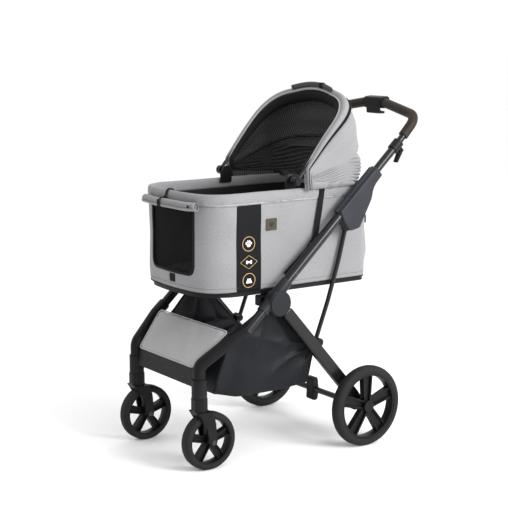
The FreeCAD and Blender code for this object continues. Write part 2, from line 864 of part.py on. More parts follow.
# ---------------------------------------------------------------- wheels and casters

SPOKES = 5


def wheel_rim(label, place, radius, width, hub_radius, hub_half, bore):
    """A moulded rim: deep ring, five double-rail spokes and a hub with a closed round cap."""
    body = new_body(label, *place)
    depth = radius * 0.085
    ring_out = radius - radius * 0.155
    half = width / 2 - 3.0
    ring = new_sketch(body, "RingSection", role="XZ_Plane")
    ring.addGeometry(
        rounded(
            [(-half, ring_out), (-half, ring_out - depth),
             (-3, ring_out - depth - 2), (3, ring_out - depth - 2),
             (half, ring_out - depth), (half, ring_out), (6, ring_out - 2.5), (-6, ring_out - 2.5)],
            [1, 1.5, 3, 3, 1.5, 1, 3, 3],
        ),
        False,
    )
    revolve(body, ring)
    doc.recompute()
    hub = new_sketch(body, "Hub", side_place(-hub_half))
    hub.addGeometry(Part.Circle(V(0, 0, 0), V(0, 0, 1), hub_radius), False)
    add_pad(body, hub, "%g" % (2 * hub_half), name="HubPad")
    doc.recompute()
    solid = body.Shape.copy()
    rail = new_sketch(body, "Rails", side_place(0))
    near, far = hub_radius * 0.72, ring_out - depth * 0.6
    spread_in, spread_out = hub_radius * 0.42, radius * 0.105
    rail_width = radius * 0.042
    for mirror in (1, -1):
        corners = [
            (mirror * spread_in, near),
            (mirror * (spread_in + rail_width), near),
            (mirror * (spread_out + rail_width), far),
            (mirror * spread_out, far),
        ]
        rail.addGeometry(rounded(corners, 0), False)
    rails = add_pad(body, rail, "%g" % (width * 0.52), both=True, name="RailPad")
    doc.recompute()
    web = new_sketch(body, "Web", side_place(0))
    web.addGeometry(
        rounded([(-spread_in, near), (spread_in, near), (spread_out, far), (-spread_out, far)], 0), False
    )
    webs = add_pad(body, web, "%g" % (width * 0.16), both=True, name="WebPad")
    doc.recompute()
    pattern = body.newObject("PartDesign::PolarPattern", "Spokes")
    pattern.Originals = [rails, webs]
    pattern.Axis = (next(f for f in body.Origin.OriginFeatures if f.Role == "X_Axis"), [""])
    pattern.Angle = 360.0
    pattern.Occurrences = SPOKES
    body.Tip = pattern
    doc.recompute()
    if body.Shape.Volume <= solid.Volume:
        raise RuntimeError(label + ": the spokes added nothing")
    hole = new_sketch(body, "AxleBore", side_place(0))
    add_circle(hole, (0, 0), bore)
    return body, hole


def tyre(label, place, radius, width):
    """A solid tyre with a rounded tread, fitted round its rim."""
    body = new_body(label, *place)
    seat = radius - radius * 0.155
    half = width / 2
    shoulder = 0.62 * (radius - seat + 4)
    section = new_sketch(body, "Section", role="XZ_Plane")
    outline = [(-half + 1.5, seat - 4), (half - 1.5, seat - 4), (half, radius), (-half, radius)]
    section.addGeometry(rounded(outline, [2, 2, shoulder, shoulder]), False)
    revolve(body, section)
    doc.recompute()
    groove = new_sketch(body, "RimSeat", role="XZ_Plane")
    inner = half - 2.6
    top = seat + 0.02
    groove.addGeometry(rounded([(-inner, 0), (inner, 0), (inner, top), (-inner, top)], 0), False)
    cut = body.newObject("PartDesign::Groove", "RimGroove")
    cut.Profile = groove
    cut.ReferenceAxis = (next(f for f in body.Origin.OriginFeatures if f.Role == "X_Axis"), [""])
    cut.Angle = 360.0
    body.Tip = cut
    return body


def rear_wheel(side, sign):
    """One rear wheel on its stub axle."""
    x = "Sizes.rear_track * %d" % sign
    place = (x, "0", "Sizes.rear_radius")
    radius, width = size("rear_radius"), size("rear_tyre_width")
    body, hole = wheel_rim("rear_rim_" + side, place, radius, width, 17.0, width / 2 - 1.0,
                           "Sizes.axle_radius + Sizes.running_gap")
    deep = width - 2.0 - 1.0
    hole.AttachmentOffset = side_place(-sign * (width / 2 - 1.0))
    add_pocket(body, hole, "%g" % (deep - 0.5), both=False, reverse=sign > 0, name="BorePocket")
    tyre("rear_tyre_" + side, place, radius, width)


def front_wheel(side, sign):
    """One front wheel between the arms of its fork."""
    x = "Sizes.caster_track * %d" % sign
    place = (x, "Sizes.front_axle_y", "Sizes.front_radius")
    radius, width = size("front_radius"), size("front_tyre_width")
    body, hole = wheel_rim("front_rim_" + side, place, radius, width, 13.0, width / 2,
                           "Sizes.axle_radius + Sizes.running_gap")
    add_pocket(body, hole, "100", name="BorePocket")
    tyre("front_tyre_" + side, place, radius, width)


def caster_fork(side, sign):
    """The curved fork that swivels under the barrel and holds the front wheel."""
    axle = V(0, size("front_axle_y"), size("front_radius"))
    top = size("barrel_bottom") - 0.6
    swivel = size("swivel_y")
    x = sign * size("caster_track")
    outline = rounded(
        [
            (swivel - 21, top),
            (swivel - 21, top - 34),
            (axle.y - 22, axle.z + 46),
            (axle.y - 13, axle.z - 2),
            (axle.y - 6, axle.z - 13),
            (axle.y + 9, axle.z - 12),
            (axle.y + 14, axle.z),
            (axle.y + 9, axle.z + 58),
            (swivel + 21, top - 22),
            (swivel + 21, top),
        ],
        [3, 14, 60, 6, 8, 8, 20, 60, 16, 3],
    )
    body = side_plate("caster_fork_" + side, x, "55", outline)
    doc.recompute()
    round_all(body, body.Tip, 2.4)
    doc.recompute()
    crown = new_sketch(body, "CrownTrim", FreeCAD.Placement(V(0, 0, top + 5), FreeCAD.Rotation()))
    crown.addGeometry(
        rounded([(x - 40, swivel - 60), (x + 40, swivel - 60),
                 (x + 40, swivel + 60), (x - 40, swivel + 60)], 0),
        False)
    add_circle(crown, (x, swivel), "Sizes.barrel_radius + 1.5")
    add_pocket(body, crown, "42", both=False, name="CrownPocket")
    slot = new_sketch(body, "WheelSlot", side_place(x))
    add_circle(slot, yz(axle), "Sizes.front_radius + 4")
    add_pocket(body, slot, "Sizes.front_tyre_width + 3", name="SlotPocket")
    cut_holes(body, x, [(axle, "Sizes.axle_radius")])
    pin = new_sketch(body, "SwivelPin", FreeCAD.Placement(V(x, swivel, top - 4), FreeCAD.Rotation()))
    add_circle(pin, (0, 0), "Sizes.swivel_pin_radius")
    add_pad(body, pin, "40", name="PinPad")
    return body


def front_axle(side, sign):
    """The bolt through a front wheel, with a flat head at each end."""
    axle = V(sign * size("caster_track"), size("front_axle_y"), size("front_radius"))
    half = 27.5
    shaft = Part.makeCylinder(size("axle_radius"), 2 * half, axle + V(-half, 0, 0), V(1, 0, 0))
    bolt = shaft
    for end in (1, -1):
        head = Part.makeCylinder(7.0, 2.5, axle + V(end * half, 0, 0), V(end, 0, 0))
        socket = Part.makePolygon([
            axle + V(end * (half + 0.8), 3.2 * math.cos(k * math.pi / 3), 3.2 * math.sin(k * math.pi / 3))
            for k in range(7)
        ])
        head = head.cut(Part.Face(socket).extrude(V(end * 3.0, 0, 0)))
        bolt = bolt.fuse(head)
    piece = doc.addObject("Part::Feature", "front_axle_" + side)
    piece.Shape = bolt.removeSplitter()
    return finish(piece, "front_axle_" + side)


# ---------------------------------------------------------------- carrier

FRONT_CORNER = 112.0
REAR_CORNER = 34.0
FRONT_CROWN = 9.0


def carrier_outline(inset=0.0):
    """The carrier's outline in plan, drawn in by an inset all round."""
    half = size("carrier_half") - inset
    front, rear = size("carrier_front_y") + inset, size("carrier_rear_y") - inset
    rise = FRONT_CROWN
    points = [(-half, front + rise), (0, front - rise), (half, front + rise), (half, rear), (-half, rear)]
    front_corner, rear_corner = FRONT_CORNER - inset, REAR_CORNER - inset
    return rounded(points, [front_corner, 500, front_corner, rear_corner, rear_corner])


def plan_ring(label, low, high, outset, inset):
    """An upright ring between two heights that follows the carrier's outline."""
    body = new_body(label)
    sketch = new_sketch(body, "Ring", FreeCAD.Placement(V(0, 0, low), FreeCAD.Rotation()))
    sketch.addGeometry(carrier_outline(-outset), False)
    sketch.addGeometry(carrier_outline(inset), False)
    add_pad(body, sketch, "%g" % (high - low))
    return body


def carrier_base():
    """The stiff tray under the carrier, bevelled along its lower edge."""
    body = new_body("carrier_base")
    low = size("carrier_bottom") - 4.0
    sketch = new_sketch(body, "Plan", FreeCAD.Placement(V(0, 0, low), FreeCAD.Rotation()))
    sketch.addGeometry(carrier_outline(3.0), False)
    add_pad(body, sketch, "12")
    slots = new_sketch(body, "PostSlots", FreeCAD.Placement(V(0, 0, low - 5), FreeCAD.Rotation()))
    for _, sign in SIDES:
        slots.addGeometry(
            rounded([(sign * POST_X - 10.5, HUB.y - 24.5), (sign * POST_X + 10.5, HUB.y - 24.5),
                     (sign * POST_X + 10.5, HUB.y + 12.5), (sign * POST_X - 10.5, HUB.y + 12.5)], 0), False)
    add_pocket(body, slots, "60", name="SlotPocket")
    return body


def window_edges():
    """The front window: its half width, bottom and top."""
    return 112.0, size("carrier_bottom") + 56.0, size("carrier_rim_bottom") - 16.0


def window_cut(body, grow=0.0):
    """Cuts the window's opening through the front wall."""
    half, low, high = window_edges()
    sketch = new_sketch(body, "Window", role="XZ_Plane")
    wide, bottom, top = half + grow, low - grow, high + grow
    outline = [(-wide, bottom), (wide, bottom), (wide, top), (-wide, top)]
    sketch.addGeometry(rounded(outline, [26, 26, 0, 0]), False)
    sketch.AttachmentOffset = FreeCAD.Placement(V(0, 0, 420.0), FreeCAD.Rotation())
    add_pocket(body, sketch, "400", both=True, name="WindowPocket")


def carrier_shell():
    """The carrier's upright fabric wall, open at the top and at the front window."""
    low = size("carrier_bottom") + 8.2
    body = plan_ring("carrier_shell", low, size("carrier_rim_bottom") - 0.2, 0.0, size("wall"))
    window_cut(body)
    for _, sign in SIDES:
        relief = new_sketch(body, "PostRelief%d" % sign, FreeCAD.Placement(V(0, 0, low), FreeCAD.Rotation()))
        relief.addGeometry(
            rounded([(sign * POST_X - 9, HUB.y - 23), (sign * POST_X + 9, HUB.y - 23),
                     (sign * POST_X + 9, HUB.y + 11), (sign * POST_X - 9, HUB.y + 11)], 0), False)
        add_pocket(body, relief, "26", both=False, reverse=True, name="ReliefPocket%d" % sign)
    return body


def carrier_rim():
    """The padded band round the top of the carrier."""
    body = plan_ring("carrier_rim", size("carrier_rim_bottom"), size("carrier_top"), 4.0, size("wall") + 5.0)
    doc.recompute()
    round_all(body, body.Tip, 5.0)
    return body


def window_mesh():
    """The mesh panel in the front window, just inside the wall's face."""
    half, low, high = window_edges()
    edge = half - 0.4
    middle = size("carrier_front_y") - FRONT_CROWN + 3.0
    side = middle + 2 * FRONT_CROWN * edge / size("carrier_half") + 5.5
    thick = 2.0
    plan = [(-edge, side), (0, middle), (edge, side),
            (edge, side + thick), (0, middle + thick), (-edge, side + thick)]
    body = new_body("window_mesh")
    sketch = new_sketch(body, "Plan", FreeCAD.Placement(V(0, 0, low + 0.4), FreeCAD.Rotation()))
    sketch.addGeometry(rounded(plan, [0, 500, 0, 0, 500, 0]), False)
    add_pad(body, sketch, "%g" % (high - low - 0.8))
    trim = new_sketch(body, "Corners", FreeCAD.Placement(V(0, 0, 0), FreeCAD.Rotation(V(1, 0, 0), 90)))
    for sign in (1, -1):
        cut = [(sign * (edge - 27), low), (sign * (edge + 5), low), (sign * (edge + 5), low + 27)]
        trim.addGeometry(rounded(cut, 0), False)
    add_pocket(body, trim, "2000", name="CornerPocket")
    return body


def window_roll():
    """The rolled-up flap above the window, tied under the rim band."""
    radius = 14.0
    middle = size("carrier_front_y") - FRONT_CROWN - 4.6 - radius
    slope = 2 * FRONT_CROWN / size("carrier_half")
    right, left = 112.0, 126.0
    points = [(-right, middle + slope * right), (0, middle), (left, middle + slope * left)]
    z = size("carrier_rim_bottom") - 3.0
    body = new_body("window_roll")
    place = FreeCAD.Placement(V(0, 0, z), FreeCAD.Rotation())
    add_pipe(body, rounded(points, [0, 500, 0], closed=False), place, ["%g" % radius], "Roll")
    return body


def carrier_cushion():
    """The flat cushion on the carrier's floor."""
    body = new_body("carrier_cushion")
    base = V(0, 0, size("carrier_bottom") + 8.6)
    sketch = new_sketch(body, "Plan", FreeCAD.Placement(base, FreeCAD.Rotation()))
    sketch.addGeometry(carrier_outline(size("wall") + 14.0), False)
    pad = add_pad(body, sketch, "38")
    doc.recompute()
    round_all(body, pad, 12.0)
    return body


def side_panel(label, thickness, x, low_y, high_y, low_z, high_z, rounding=2.0):
    """A thin upright panel on the left side of the carrier."""
    outline = rounded([(low_y, low_z), (high_y, low_z), (high_y, high_z), (low_y, high_z)], rounding)
    return side_plate(label, x + thickness / 2, "%g" % thickness, outline)


def label_strip():
    """The upright decorative strip on the left side."""
    return side_panel("label_strip", 1.2, size("carrier_half") + 0.1, -410, -329, 494, 734)


def leather_patch():
    """The small stitched patch on the left side."""
    return side_panel("leather_patch", 1.6, size("carrier_half") + 0.1, -312, -274, 657, 691, 3.0)


def side_straps():
    """The webbing straps down both sides, from the rim to the hub."""
    solids = []
    for _, sign in SIDES:
        outline = rounded([(-131, 766), (-111, 766), (-136, 618), (-160, 586),
                           (-240, 520), (-252, 532), (-173, 598),
                           (-154, 630)], [2, 2, 20, 10, 2, 2, 10, 20])
        face = Part.Face(Part.Wire([g.toShape() for g in outline]))
        stand_off = 4.2 if sign > 0 else 5.4
        face.Placement = side_place(sign * (size("carrier_half") + stand_off))
        solids.append(face.extrude(V(1.2, 0, 0)))
    group = doc.addObject("Part::Feature", "side_straps")
    group.Shape = Part.makeCompound(solids)
    return finish(group, "side_straps")


def rear_pocket():
    """The shallow pocket on the carrier's rear wall."""
    body = new_body("rear_pocket")
    sketch = new_sketch(body, "Side", side_place(0))
    y = size("carrier_rear_y") + 0.3
    outline = [(y, 512), (y + 22, 524), (y + 18, 640), (y + 6, 716), (y, 716)]
    sketch.addGeometry(rounded(outline, [2, 12, 30, 3, 1]), False)
    add_pad(body, sketch, "296", both=True)
    return body


def carrier_lugs():
    """The sockets on the carrier that drop over the frame's posts."""
    solids = []
    for _, sign in SIDES:
        block = Part.makeBox(16.5, 31.0, 23.5, V(sign * POST_X - 8.25, HUB.y - 21.5, 481.5))
        bore = Part.makeBox(11.0, 25.0, 21.0, V(sign * POST_X - 5.5, HUB.y - 18.5, 480.5))
        solids.append(block.cut(bore))
    group = doc.addObject("Part::Feature", "carrier_lugs")
    group.Shape = Part.makeCompound(solids)
    return finish(group, "carrier_lugs")


# ---------------------------------------------------------------- canopy

PIVOT = V(0, size("canopy_pivot_y"), size("canopy_pivot_z"))


def fan_place(angle):
    """The plane through the canopy's pivots, leaning back at an angle above the horizontal."""
    lean = math.radians(angle)
    up = V(0, math.cos(lean), math.sin(lean))
    return facing(PIVOT, V(1, 0, 0).cross(up), V(1, 0, 0))


def arch(half, reach, low=0.0):
    """An arch in a fan plane: two legs and a gently crowned top."""
    shoulder = reach * 0.86
    return [(half, low), (half, shoulder), (0, reach + 6), (-half, shoulder), (-half, low)]


def arch_radii(reach):
    """The corner radii of an arch of that reach."""
    corner = min(125.0, reach * 0.34)
    return [0, corner, 260, corner, 0]


def canopy_pivots():
    """The pivot clips on the rim, each with the round button that the bows turn on."""
    inner = size("carrier_half") - 23.0
    head_x = hoop_half() + 3.4
    solids = []
    for _, sign in SIDES:
        low = inner if sign > 0 else -inner - 7.0
        foot = Part.makeBox(7.0, 40.0, 34.0, V(low, PIVOT.y - 20.0, size("carrier_top") - 14.0))
        foot = foot.makeFillet(3.0, foot.Edges)
        boss = Part.makeCylinder(14.0, 7.0, V(sign * inner, PIVOT.y, PIVOT.z), V(sign, 0, 0))
        pin = Part.makeCylinder(5.0, head_x - inner + 1.0, V(sign * inner, PIVOT.y, PIVOT.z), V(sign, 0, 0))
        head = Part.makeCylinder(10.0, 4.0, V(sign * head_x, PIVOT.y, PIVOT.z), V(sign, 0, 0))
        solids.append(foot.fuse([boss, pin, head]).removeSplitter())
    group = doc.addObject("Part::Feature", "canopy_pivots")
    group.Shape = Part.makeCompound(solids)
    return finish(group, "canopy_pivots")


def hoop_half():
    """The front hoop's half width, inside the cloth."""
    return size("canopy_half") - 7.5


def bow(label, half, reach, angle, radius, eye):
    """A round bow that turns on the pivots, with a flat eye at each end."""
    place = fan_place(angle)
    path = rounded(arch(half, reach, eye - 1.5), arch_radii(reach), closed=False)
    body = new_body(label)
    add_pipe(body, path, place, [radius], "Bow")
    doc.recompute()
    for side, sign in SIDES:
        sketch = new_sketch(body, "Eye_" + side, side_place(sign * half))
        add_circle(sketch, yz(PIVOT), "%g" % eye)
        add_pad(body, sketch, "6", both=True, name="EyePad_" + side)
        doc.recompute()
    cut_holes_both(body, half)
    return body


def cut_holes_both(body, half):
    """The pivot holes through both eyes of a bow."""
    sketch = new_sketch(body, "PivotHoles", side_place(0))
    add_circle(sketch, yz(PIVOT), "5 + Sizes.running_gap")
    add_pocket(body, sketch, "%g" % (2 * half + 60), name="PivotPocket")


def canopy_fabric():
    """The canopy's cloth: one curved shell fanned from just behind the hoop down to the carrier's rear."""
    leans = (
        (size("canopy_angle") - 2.2, size("canopy_reach") - 1.0),
        (38.0, 333.0),
        (28.0, 308.0),
        (15.0, 286.0),
        (-4.0, 272.0),
    )
    skins = []
    for inset in (0.0, size("fabric")):
        wires = []
        for angle, reach in leans:
            half = size("canopy_half") + 5.0 - inset
            lines = rounded(arch(half, reach - inset, 24.0), arch_radii(reach), closed=False)
            lines.append(Part.LineSegment(V(-half, 24.0, 0), V(half, 24.0, 0)))
            wire = Part.Wire([line.toShape() for line in lines])
            wire.Placement = fan_place(angle)
            wires.append(wire)
        skins.append(Part.makeLoft(wires, True, True))
    shell = skins[0].cut(skins[1])
    shell = shell.common(Part.makeBox(600, 800, 500, V(-300, PIVOT.y + 16, size("carrier_top") + 1.0)))
    piece = doc.addObject("Part::Feature", "canopy_fabric")
    piece.Shape = shell.Solids[0] if len(shell.Solids) == 1 else shell
    return finish(piece, "canopy_fabric")


def canopy_roll():
    """The rolled mesh door strapped along the top of the front hoop."""
    radius = 12.0
    shoulder, crown = arch(hoop_half(), size("canopy_reach") - 9.0)[1:3]
    slope = (crown[1] - shoulder[1]) / hoop_half()
    half = 105.0
    end = crown[1] - slope * half
    lift = math.degrees(math.atan((radius + size("hoop_radius") + 0.5) / end))
    path = rounded([(-half, end), crown, (half, end)], [0, 260, 0], closed=False)
    body = new_body("canopy_roll")
    add_pipe(body, path, fan_place(size("canopy_angle") + lift), ["%g" % radius], "Roll")
    return body


# ---------------------------------------------------------------- assembly

def build_all():
    """Builds every piece of the stroller."""
    for side, sign in SIDES:
        main_tube(side, sign)
        front_leg(side, sign)
        hub_housing(side, sign)
        rear_leg(side, sign)
        strut(side, sign)
        track = sign * size("frame_track")
        straight_tube("upper_tube_" + side, 190.0, COLLAR_HIGH - 8.0, track, "upper_tube_radius")
        slider_housing(side, sign)
        collar_lever(side, sign)
        handle_grip(side, sign)
        caster_fork(side, sign)
        front_axle(side, sign)
        front_wheel(side, sign)
        rear_wheel(side, sign)
    for build in (
        hub_pins, front_beam, storage_basket, basket_panel, carrier_adapters, frame_screws, rear_cross_bar,
        rear_axles, strut_brackets, brake_pedal, collars, handlebar, handle_housing, fold_lever, carrier_base,
        carrier_shell, carrier_rim, window_mesh, window_roll, carrier_cushion, label_strip, leather_patch,
        side_straps, rear_pocket, carrier_lugs, canopy_pivots, canopy_fabric, canopy_roll,
    ):
        build()
    hoop_reach = size("canopy_reach") - 9.0
    bow("canopy_hoop", hoop_half(), hoop_reach, size("canopy_angle"), "Sizes.hoop_radius", 13.0)
    bow("canopy_bow", hoop_half() - 10.0, 276.0, 22.0, "3.5", 13.0)


def export_all():
    """Checks every object and writes each piece to its own STEP file."""
    doc.recompute()
    faults = [o.Name for o in doc.Objects if "Invalid" in o.State or "Error" in o.State]
    for piece in PIECES:
        shape = piece.Shape
        if shape.isNull() or not shape.isValid() or not shape.Solids:
            faults.append(piece.Label + " (shape)")
    if faults:
        raise RuntimeError("failed: " + ", ".join(faults))
    os.makedirs("parts", exist_ok=True)
    for piece in PIECES:
        piece.Shape.exportStep("parts/%s.step" % piece.Label)


build_all()
export_all()
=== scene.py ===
import json
import math
import bmesh
import bpy
from mathutils import Matrix, Vector, noise


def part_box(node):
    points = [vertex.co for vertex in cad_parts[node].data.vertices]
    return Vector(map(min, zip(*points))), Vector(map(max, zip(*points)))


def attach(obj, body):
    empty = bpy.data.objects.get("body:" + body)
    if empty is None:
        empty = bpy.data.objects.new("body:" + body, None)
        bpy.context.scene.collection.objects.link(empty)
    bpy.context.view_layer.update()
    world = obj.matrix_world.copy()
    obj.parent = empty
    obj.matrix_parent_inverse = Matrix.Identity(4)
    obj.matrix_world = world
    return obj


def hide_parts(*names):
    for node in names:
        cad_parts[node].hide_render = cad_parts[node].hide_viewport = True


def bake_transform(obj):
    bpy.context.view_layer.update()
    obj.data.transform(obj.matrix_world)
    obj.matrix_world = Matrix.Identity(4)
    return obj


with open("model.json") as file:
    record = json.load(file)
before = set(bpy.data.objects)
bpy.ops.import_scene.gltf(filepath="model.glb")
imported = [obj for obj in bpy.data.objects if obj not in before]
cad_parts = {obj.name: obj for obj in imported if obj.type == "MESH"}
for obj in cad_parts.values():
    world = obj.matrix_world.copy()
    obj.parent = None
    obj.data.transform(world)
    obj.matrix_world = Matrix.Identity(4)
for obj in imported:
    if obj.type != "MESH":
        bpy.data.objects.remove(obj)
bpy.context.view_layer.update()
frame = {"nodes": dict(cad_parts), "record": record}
nodes = frame["nodes"]

# Pieces are modelled in millimetres, from the ground under the rear axle, and turned into the
# frame's metres when their mesh is made.
AXLE_Y = sum(corner.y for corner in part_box("rear_axles")) / 2 * 1000
SIDES = (("left", 1), ("right", -1))


def to_frame(point):
    """A point in millimetres from under the rear axle, in the frame's metres."""
    return Vector((point[0], point[1] + AXLE_Y, point[2])) * 0.001


def wave(x, y=0.0, z=0.0):
    """Smooth noise at a place, from -1 to 1."""
    return noise.noise(Vector((x, y, z)))


def smooth(low, high, value):
    """0 below low, 1 above high, and a smooth step between them."""
    t = min(1.0, max(0.0, (value - low) / (high - low)))
    return t * t * (3 - 2 * t)


# ---------------------------------------------------------------- materials

class Shader:
    """A material's node tree, with short calls for the nodes that the finishes use."""

    def __init__(self, name, colour, roughness, **sockets):
        self.material = bpy.data.materials.new(name)
        self.material.use_nodes = True
        self.tree = self.material.node_tree
        self.surface = self.tree.nodes["Principled BSDF"]
        self.surface.inputs["Base Color"].default_value = (*colour, 1)
        self.surface.inputs["Roughness"].default_value = roughness
        for socket, value in sockets.items():
            self.surface.inputs[socket.replace("_", " ")].default_value = value
        self.coords = self.tree.nodes.new("ShaderNodeTexCoord")

    def node(self, kind, inputs, output=0, **settings):
        """Adds a node, links or sets its inputs, and gives back one of its outputs."""
        made = self.tree.nodes.new(kind)
        for key, value in settings.items():
            setattr(made, key, value)
        for key, value in inputs.items():
            if isinstance(value, bpy.types.NodeSocket):
                self.tree.links.new(value, made.inputs[key])
            else:
                made.inputs[key].default_value = value
        return made.outputs[output]

    def split(self, vector):
        """The three parts of a vector."""
        made = self.tree.nodes.new("ShaderNodeSeparateXYZ")
        self.tree.links.new(vector, made.inputs[0])
        return made.outputs

    def math(self, operation, first, second=0.0):
        return self.node("ShaderNodeMath", {0: first, 1: second}, operation=operation)

    def noise(self, scale, detail=2.0, stretch=(1, 1, 1)):
        """Noise in the object's metres, stretched along an axis for fibres or brushing."""
        vector = self.coords.outputs["Object"]
        if stretch != (1, 1, 1):
            vector = self.node("ShaderNodeMapping", {"Vector": vector, "Scale": stretch})
        return self.node("ShaderNodeTexNoise", {"Vector": vector, "Scale": scale, "Detail": detail})

    def mix(self, factor, first, second):
        """Mixes two colours, each a socket or three numbers."""
        def colour(value):
            return value if isinstance(value, bpy.types.NodeSocket) else (*value, 1)
        inputs = {0: factor, 6: colour(first), 7: colour(second)}
        return self.node("ShaderNodeMix", inputs, output=2, data_type="RGBA")

    def band(self, value, low, high, out_low=0.0, out_high=1.0):
        return self.node("ShaderNodeMapRange", {0: value, 1: low, 2: high, 3: out_low, 4: out_high})

    def link(self, output, socket):
        self.tree.links.new(output, self.surface.inputs[socket])

    def bump(self, height, strength, distance):
        inputs = {"Height": height, "Strength": strength, "Distance": distance}
        self.link(self.node("ShaderNodeBump", inputs), "Normal")

    def edge_wear(self, colour, worn, amount):
        """Lightens the colour where the surface is sharply convex."""
        pointy = self.node("ShaderNodeNewGeometry", {}, output=7)
        return self.mix(self.band(pointy, 0.52, 0.62, 0.0, amount), colour, worn)


def shade(colour, factor):
    return tuple(min(1.0, channel * factor) for channel in colour)


def moulded(name, colour, roughness, grain=900.0, strength=0.25, worn=2.2, gloss=0.14):
    """Moulded plastic with a fine spark-eroded grain and lighter, rubbed edges."""
    s = Shader(name, colour, roughness, Specular_IOR_Level=gloss)
    fine, broad = s.noise(grain), s.noise(14.0, 4.0)
    tint = s.mix(s.band(broad, 0.35, 0.65), shade(colour, 0.88), shade(colour, 1.1))
    s.link(s.edge_wear(tint, shade(colour, worn), 0.55), "Base Color")
    s.link(s.band(s.noise(60.0, 3.0), 0.3, 0.7, roughness - 0.05, roughness + 0.07), "Roughness")
    s.bump(fine, strength, 0.0002)
    return s.material


def powder_coat(name, colour, roughness):
    """Satin powder-coated tube: a soft orange peel, with faint rubbing along its length."""
    s = Shader(name, colour, roughness, Specular_IOR_Level=0.26)
    peel, rub = s.noise(420.0), s.noise(30.0, 5.0, (1, 0.2, 0.2))
    tint = s.mix(s.band(rub, 0.4, 0.7), colour, shade(colour, 1.35))
    s.link(s.edge_wear(tint, shade(colour, 2.2), 0.4), "Base Color")
    s.link(s.band(rub, 0.3, 0.75, roughness - 0.02, roughness + 0.03), "Roughness")
    s.bump(peel, 0.04, 0.0001)
    return s.material


def rubber(name, colour):
    """Matt foam rubber with fine pores and a dusty tint."""
    s = Shader(name, colour, 0.72, Specular_IOR_Level=0.2)
    dust = s.noise(22.0, 5.0)
    s.link(s.mix(s.band(dust, 0.42, 0.7), colour, shade(colour, 1.7)), "Base Color")
    s.link(s.band(dust, 0.3, 0.7, 0.64, 0.8), "Roughness")
    s.bump(s.noise(1100.0, 3.0), 0.35, 0.0003)
    return s.material


def leather(name, colour, grain=520.0):
    """Grained leather with darker creases and a slight polish on the high spots."""
    s = Shader(name, colour, 0.5, Specular_IOR_Level=0.2)
    cells = s.node(
        "ShaderNodeTexVoronoi", {"Vector": s.coords.outputs["Object"], "Scale": grain},
        feature="DISTANCE_TO_EDGE",
    )
    pores = s.band(cells, 0.0, 0.25)
    blotch = s.band(s.noise(35.0, 4.0), 0.35, 0.65)
    tint = s.mix(blotch, shade(colour, 0.75), shade(colour, 1.25))
    s.link(s.mix(pores, shade(colour, 0.5), tint), "Base Color")
    s.link(s.band(pores, 0.0, 1.0, 0.62, 0.45), "Roughness")
    s.bump(pores, 0.4, 0.0003)
    return s.material


def woven(name, light, dark, pitch, roughness=0.85, strength=0.5, coords="UV", hollow_shade=0.5, rib=1.0,
          sheen=0.18, gloss=0.12):
    """Plain-woven cloth: threads over and under at a pitch in metres, with heathered fibres, and painted
    shade darkening the hollows between the threads.
    """
    s = Shader(name, light, roughness, Sheen_Weight=sheen, Sheen_Roughness=0.5, Specular_IOR_Level=gloss)
    vector = s.coords.outputs[coords]
    parts = s.split(vector)
    turn = math.pi / pitch
    across, upward = parts[0], parts[1]
    if coords == "Object":
        across = s.math("ADD", parts[0], parts[1])
        upward = s.math("SUBTRACT", parts[2], s.math("MULTIPLY", parts[1], 0.5))
    warp = s.math("SINE", s.math("MULTIPLY", across, turn))
    weft = s.math("SINE", s.math("MULTIPLY", upward, turn * rib))
    thread = s.band(s.math("MULTIPLY", warp, weft), -1.0, 1.0)
    fibres = s.node("ShaderNodeTexNoise", {
        "Vector": s.node("ShaderNodeMapping", {"Vector": vector, "Scale": (1, 0.25, 1)}),
        "Scale": 1.1 / pitch, "Detail": 3.0,
    })
    broad = s.noise(7.0, 3.0)
    heather = s.mix(s.band(fibres, 0.38, 0.62), dark, light)
    # Painted shade: the weave's hollows, where the threads dip under, are mixed towards the dark fibre
    # colour.
    threads = s.mix(s.math("MULTIPLY", s.band(thread, 0.0, 1.0, 1.0, 0.0), hollow_shade), heather, dark)
    s.link(s.mix(s.band(broad, 0.35, 0.7, 0.0, 0.35), threads, shade(light, 1.06)), "Base Color")
    s.link(s.band(fibres, 0.3, 0.7, roughness - 0.06, roughness + 0.06), "Roughness")
    s.bump(s.math("ADD", thread, s.math("MULTIPLY", fibres, 0.6)), strength, pitch * 0.3)
    return s.material


MESH_SLOPE = 0.58


def netting(name, thread, gap, pitch, fill, clear):
    """Knitted mesh: staggered holes at a pitch in metres, filled with the gap colour as painted shade seen
    through them. clear is how far the holes let light through.
    """
    s = Shader(name, thread, 0.8, Specular_IOR_Level=0.06)
    across, upward, _ = s.split(s.coords.outputs["UV"])
    turn = 2 * math.pi / pitch
    slope = s.math("MULTIPLY", upward, MESH_SLOPE)
    first = s.math("MULTIPLY", s.math("ADD", across, slope), turn)
    second = s.math("MULTIPLY", s.math("SUBTRACT", across, slope), turn)
    knots = s.math("ADD", s.math("SINE", first), s.math("SINE", second))
    hole = s.band(knots, fill, fill + 0.7)
    # Painted shade: the holes take the dark gap colour in place of whatever lies behind them.
    s.link(s.mix(hole, thread, gap), "Base Color")
    s.bump(s.band(knots, -2.0, 2.0, 1.0, 0.0), 0.6, pitch * 0.25)
    if clear:
        s.link(s.math("SUBTRACT", 1.0, s.math("MULTIPLY", hole, clear)), "Alpha")
    return s.material


def metal(name, colour, roughness):
    """Bare or plated metal with fine turning marks."""
    s = Shader(name, colour, roughness, Metallic=1.0)
    marks = s.noise(300.0, 3.0, (0.1, 1, 1))
    s.link(s.mix(s.band(marks, 0.35, 0.65), shade(colour, 0.8), colour), "Base Color")
    s.link(s.band(marks, 0.3, 0.7, roughness - 0.08, roughness + 0.1), "Roughness")
    s.bump(marks, 0.1, 0.0001)
    return s.material


BLACK = (0.0045, 0.0047, 0.0054)
SLATE = (0.0125, 0.0135, 0.0165)
BRACKET = (0.026, 0.0275, 0.033)
GREY_CLOTH = (0.262, 0.262, 0.268)
GREY_DARK = (0.170, 0.170, 0.175)

